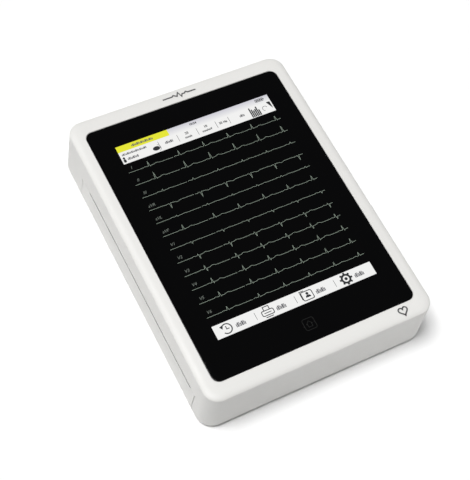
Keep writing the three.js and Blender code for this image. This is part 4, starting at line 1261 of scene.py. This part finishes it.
def printer_icon(ink, x, y):
    ink.frame(x - 5.6, y - 3.2, x + 5.6, y + 1.6, 0.8, 1.2)
    ink.line(shifted(x, y, [(-2.7, 1.6), (-2.7, 5.2), (2.7, 5.2), (2.7, 1.6)]), 0.8)
    ink.line(shifted(x, y, [(-3.6, -5.0), (3.6, -5.0)]), 0.8)
    ink.line(shifted(x, y, [(-3.4, -0.8), (3.4, -0.8)]), 0.7)


def folder_icon(ink, x, y):
    """A patient's card, with another behind it."""
    ink.frame(x - 5.2, y - 4.6, x + 5.2, y + 4.0, 0.8, 1.4)
    ink.line(shifted(x, y, [(-5.8, -3.0), (-5.8, 5.0), (-1.6, 5.0)]), 0.7)
    ink.ellipse(x + 0.4, y + 1.5, 1.3, 1.3)
    shoulders = [(-2.2, -2.2), (3.0, -2.2), (2.4, -0.4), (0.4, 0.2), (-1.6, -0.4)]
    ink.polygon(shifted(x, y, shoulders))


def gear_icon(ink, x, y):
    ink.arc(x, y, 3.9, 1.9)
    ink.ellipse(x, y, 1.5, 1.5)
    roots, tips = [round_points(x, y, radius, radius, circle(8)) for radius in (4.4, 6.2)]
    for tooth in zip(roots, tips):
        ink.line(tooth, 1.9)


def button_bar(white, ink, grey):
    """Four touch buttons, each with a symbol and a word, between thin dividers."""
    white.rectangle(ACTIVE_LEFT, ACTIVE_BOTTOM, ACTIVE_RIGHT, BAR_TOP)
    middle = (ACTIVE_BOTTOM + BAR_TOP) / 2
    icons = (history_icon, printer_icon, folder_icon, gear_icon)
    pitch = (ACTIVE_RIGHT - ACTIVE_LEFT) / len(icons)
    for i, icon in enumerate(icons):
        left = ACTIVE_LEFT + pitch * i
        icon(ink, left + 11.6, middle)
        grey.words(left + 20.2, left + 29.4, middle - 0.6, 4.2)
        if i:
            grey.divider(left, middle - 3.6, middle + 3.6)


def home_symbol():
    """A dim outline of a house in a rounded square, printed under the glass and drawn with a painted
    glow: it emits its dark grey instead of being lit by the lamps.
    """
    mark = Print("home_symbol", 1)
    y = (ACTIVE_BOTTOM + glass_low.y / MM) / 2 - 1.2
    mark.frame(-5.4, y - 5.4, 5.4, y + 5.4, 0.55, 1.8)
    mark.line([(-3.0, y - 0.2), (0, y + 2.8), (3.0, y - 0.2)], 0.5)
    mark.line([(-2.0, y + 0.6), (-2.0, y - 2.8), (2.0, y - 2.8), (2.0, y + 0.6)], 0.5)
    # painted glow: the printed symbol emits its grey instead of taking light from the lamps
    mark.finish("cover_glass", lit_ink("home_print_painted_glow", srgb(34, 34, 34)))


def screen():
    """All that the display shows, over the dark panel."""
    white, yellow = Print("screen_bars", 1), Print("screen_tab", 2)
    ink, grey = Print("screen_symbols", 3), Print("screen_small_print", 3)
    top_line(white, yellow, ink, grey)
    settings_line(ink, grey)
    button_bar(white, ink, grey)
    fade = (srgb(206, 205, 214), (ACTIVE_TOP - 8) * MM, ACTIVE_TOP * MM)
    white.light("bar_light", 243, 243, 242, fade=fade)
    yellow.light("tab_light", 232, 232, 58)
    ink.light("symbol_light", 52, 54, 56)
    grey.light("small_print_light", 104, 104, 108)
    traces()
    home_symbol()


MARK_WIDTH = 1.3
HEART_X = 82.0
HEART_SIZE = 0.27


def rim_marks():
    """Two plain printed symbols on the rim: a pulse line and a heart outline."""
    rim_y = (glass_high.y + upper_high.y) / 2 / MM - 1.2
    pulse = Print("pulse_mark", 1, TOP_Z)
    spike = [(-16.0, 0), (-6.5, 0), (-4.6, 1.2), (-2.8, 0), (-1.4, -1.0), (0.8, 3.0), (2.8, -2.6)]
    spike += [(4.2, 0), (6.6, 0), (8.4, 1.4), (10.2, 0), (18.5, 0)]
    pulse.line(shifted(0, rim_y, spike), MARK_WIDTH)
    pulse.finish("case_plastic", printed_mark("mark_print", srgb(74, 74, 76)))
    heart = Print("heart_mark", 1, TOP_Z)
    outline = []
    for a in circle(40):
        x = 16 * math.sin(a) ** 3
        y = 13 * math.cos(a) - 5 * math.cos(2 * a) - 2 * math.cos(3 * a) - math.cos(4 * a)
        outline.append((HEART_SIZE * x, HEART_SIZE * y))
    heart.line(shifted(HEART_X, 0.5 - rim_y, outline), MARK_WIDTH, True)
    heart.finish("case_plastic", printed_mark("heart_print", srgb(74, 74, 76)))


# ---- Stage --------

# The view looks down at the machine from the front left, rolled a little to the right.
LOOK_AT = Vector((-0.0217, -0.0193, 0.058))
CAMERA_AZIMUTH = math.radians(-128.65)
CAMERA_ELEVATION = math.radians(59.96)
CAMERA_DISTANCE = 1.0553
CAMERA_ROLL = math.radians(13.245)
LENS_MM = 89.08


def floor():
    """A plain pale floor under the machine."""
    bm = bmesh.new()
    bmesh.ops.create_grid(bm, x_segments=1, y_segments=1, size=6)
    plane = from_bmesh("floor", bm)
    look = Nodes("floor")
    look.set(Base_Color=look.mottle(3, (0.85, 0.85, 0.85), (0.86, 0.86, 0.86)), Roughness=0.9)
    plane.data.materials.append(look.material)


def studio():
    """Soft light from the upper left, a low fill at the right and a room that is dark overhead."""
    key = bpy.data.lights.new("key_light", "SUN")
    key.energy = 3.72
    key.angle = math.radians(30)
    fill = bpy.data.lights.new("fill_light", "AREA")
    fill.energy = 0.35
    fill.size = 0.3
    for data, place in ((key, (-0.28, 0.08, 0.96)), (fill, (0.40, -0.42, 0.10))):
        lamp = new_object(data.name, data)
        lamp.location = place
        lamp.rotation_euler = lamp.location.to_track_quat("Z", "Y").to_euler()
    world = bpy.data.worlds.new("studio")
    bpy.context.scene.world = world
    world.use_nodes = True
    tree = world.node_tree
    place = tree.nodes.new("ShaderNodeTexCoord")
    split = tree.nodes.new("ShaderNodeSeparateXYZ")
    ramp = tree.nodes.new("ShaderNodeValToRGB")
    tree.links.new(place.outputs["Generated"], split.inputs["Vector"])
    tree.links.new(split.outputs["Z"], ramp.inputs["Fac"])
    tree.links.new(ramp.outputs["Color"], tree.nodes["Background"].inputs["Color"])
    for stop, (height, grey) in zip(ramp.color_ramp.elements, ((0.1, 0.12), (0.7, 0.03))):
        stop.position = height
        stop.color = (grey, grey, grey, 1)


def camera():
    data = bpy.data.cameras.new("camera")
    data.lens = LENS_MM
    obj = new_object("camera", data)
    level = math.cos(CAMERA_ELEVATION)
    sideways = Vector((math.cos(CAMERA_AZIMUTH), math.sin(CAMERA_AZIMUTH))) * level
    back = Vector((*sideways, math.sin(CAMERA_ELEVATION)))
    obj.location = LOOK_AT + back * CAMERA_DISTANCE
    turn = back.to_track_quat("Z", "Y").to_matrix() @ Matrix.Rotation(CAMERA_ROLL, 3, "Z")
    obj.rotation_euler = turn.to_euler()
    bpy.context.scene.camera = obj


camera()
floor()
studio()
dress_cad_nodes()
upper_housing()
lower_housing()
drawer_front()
battery_lid()
rubber_feet()
glass_sheet()
rear_sockets()
patient_socket()
power_switch_cap()
rating_rules()
platen()
head_springs()
folded_pack()
paper_lead()
screen()
rim_marks()

bpy.context.scene.view_settings.view_transform = "Standard"
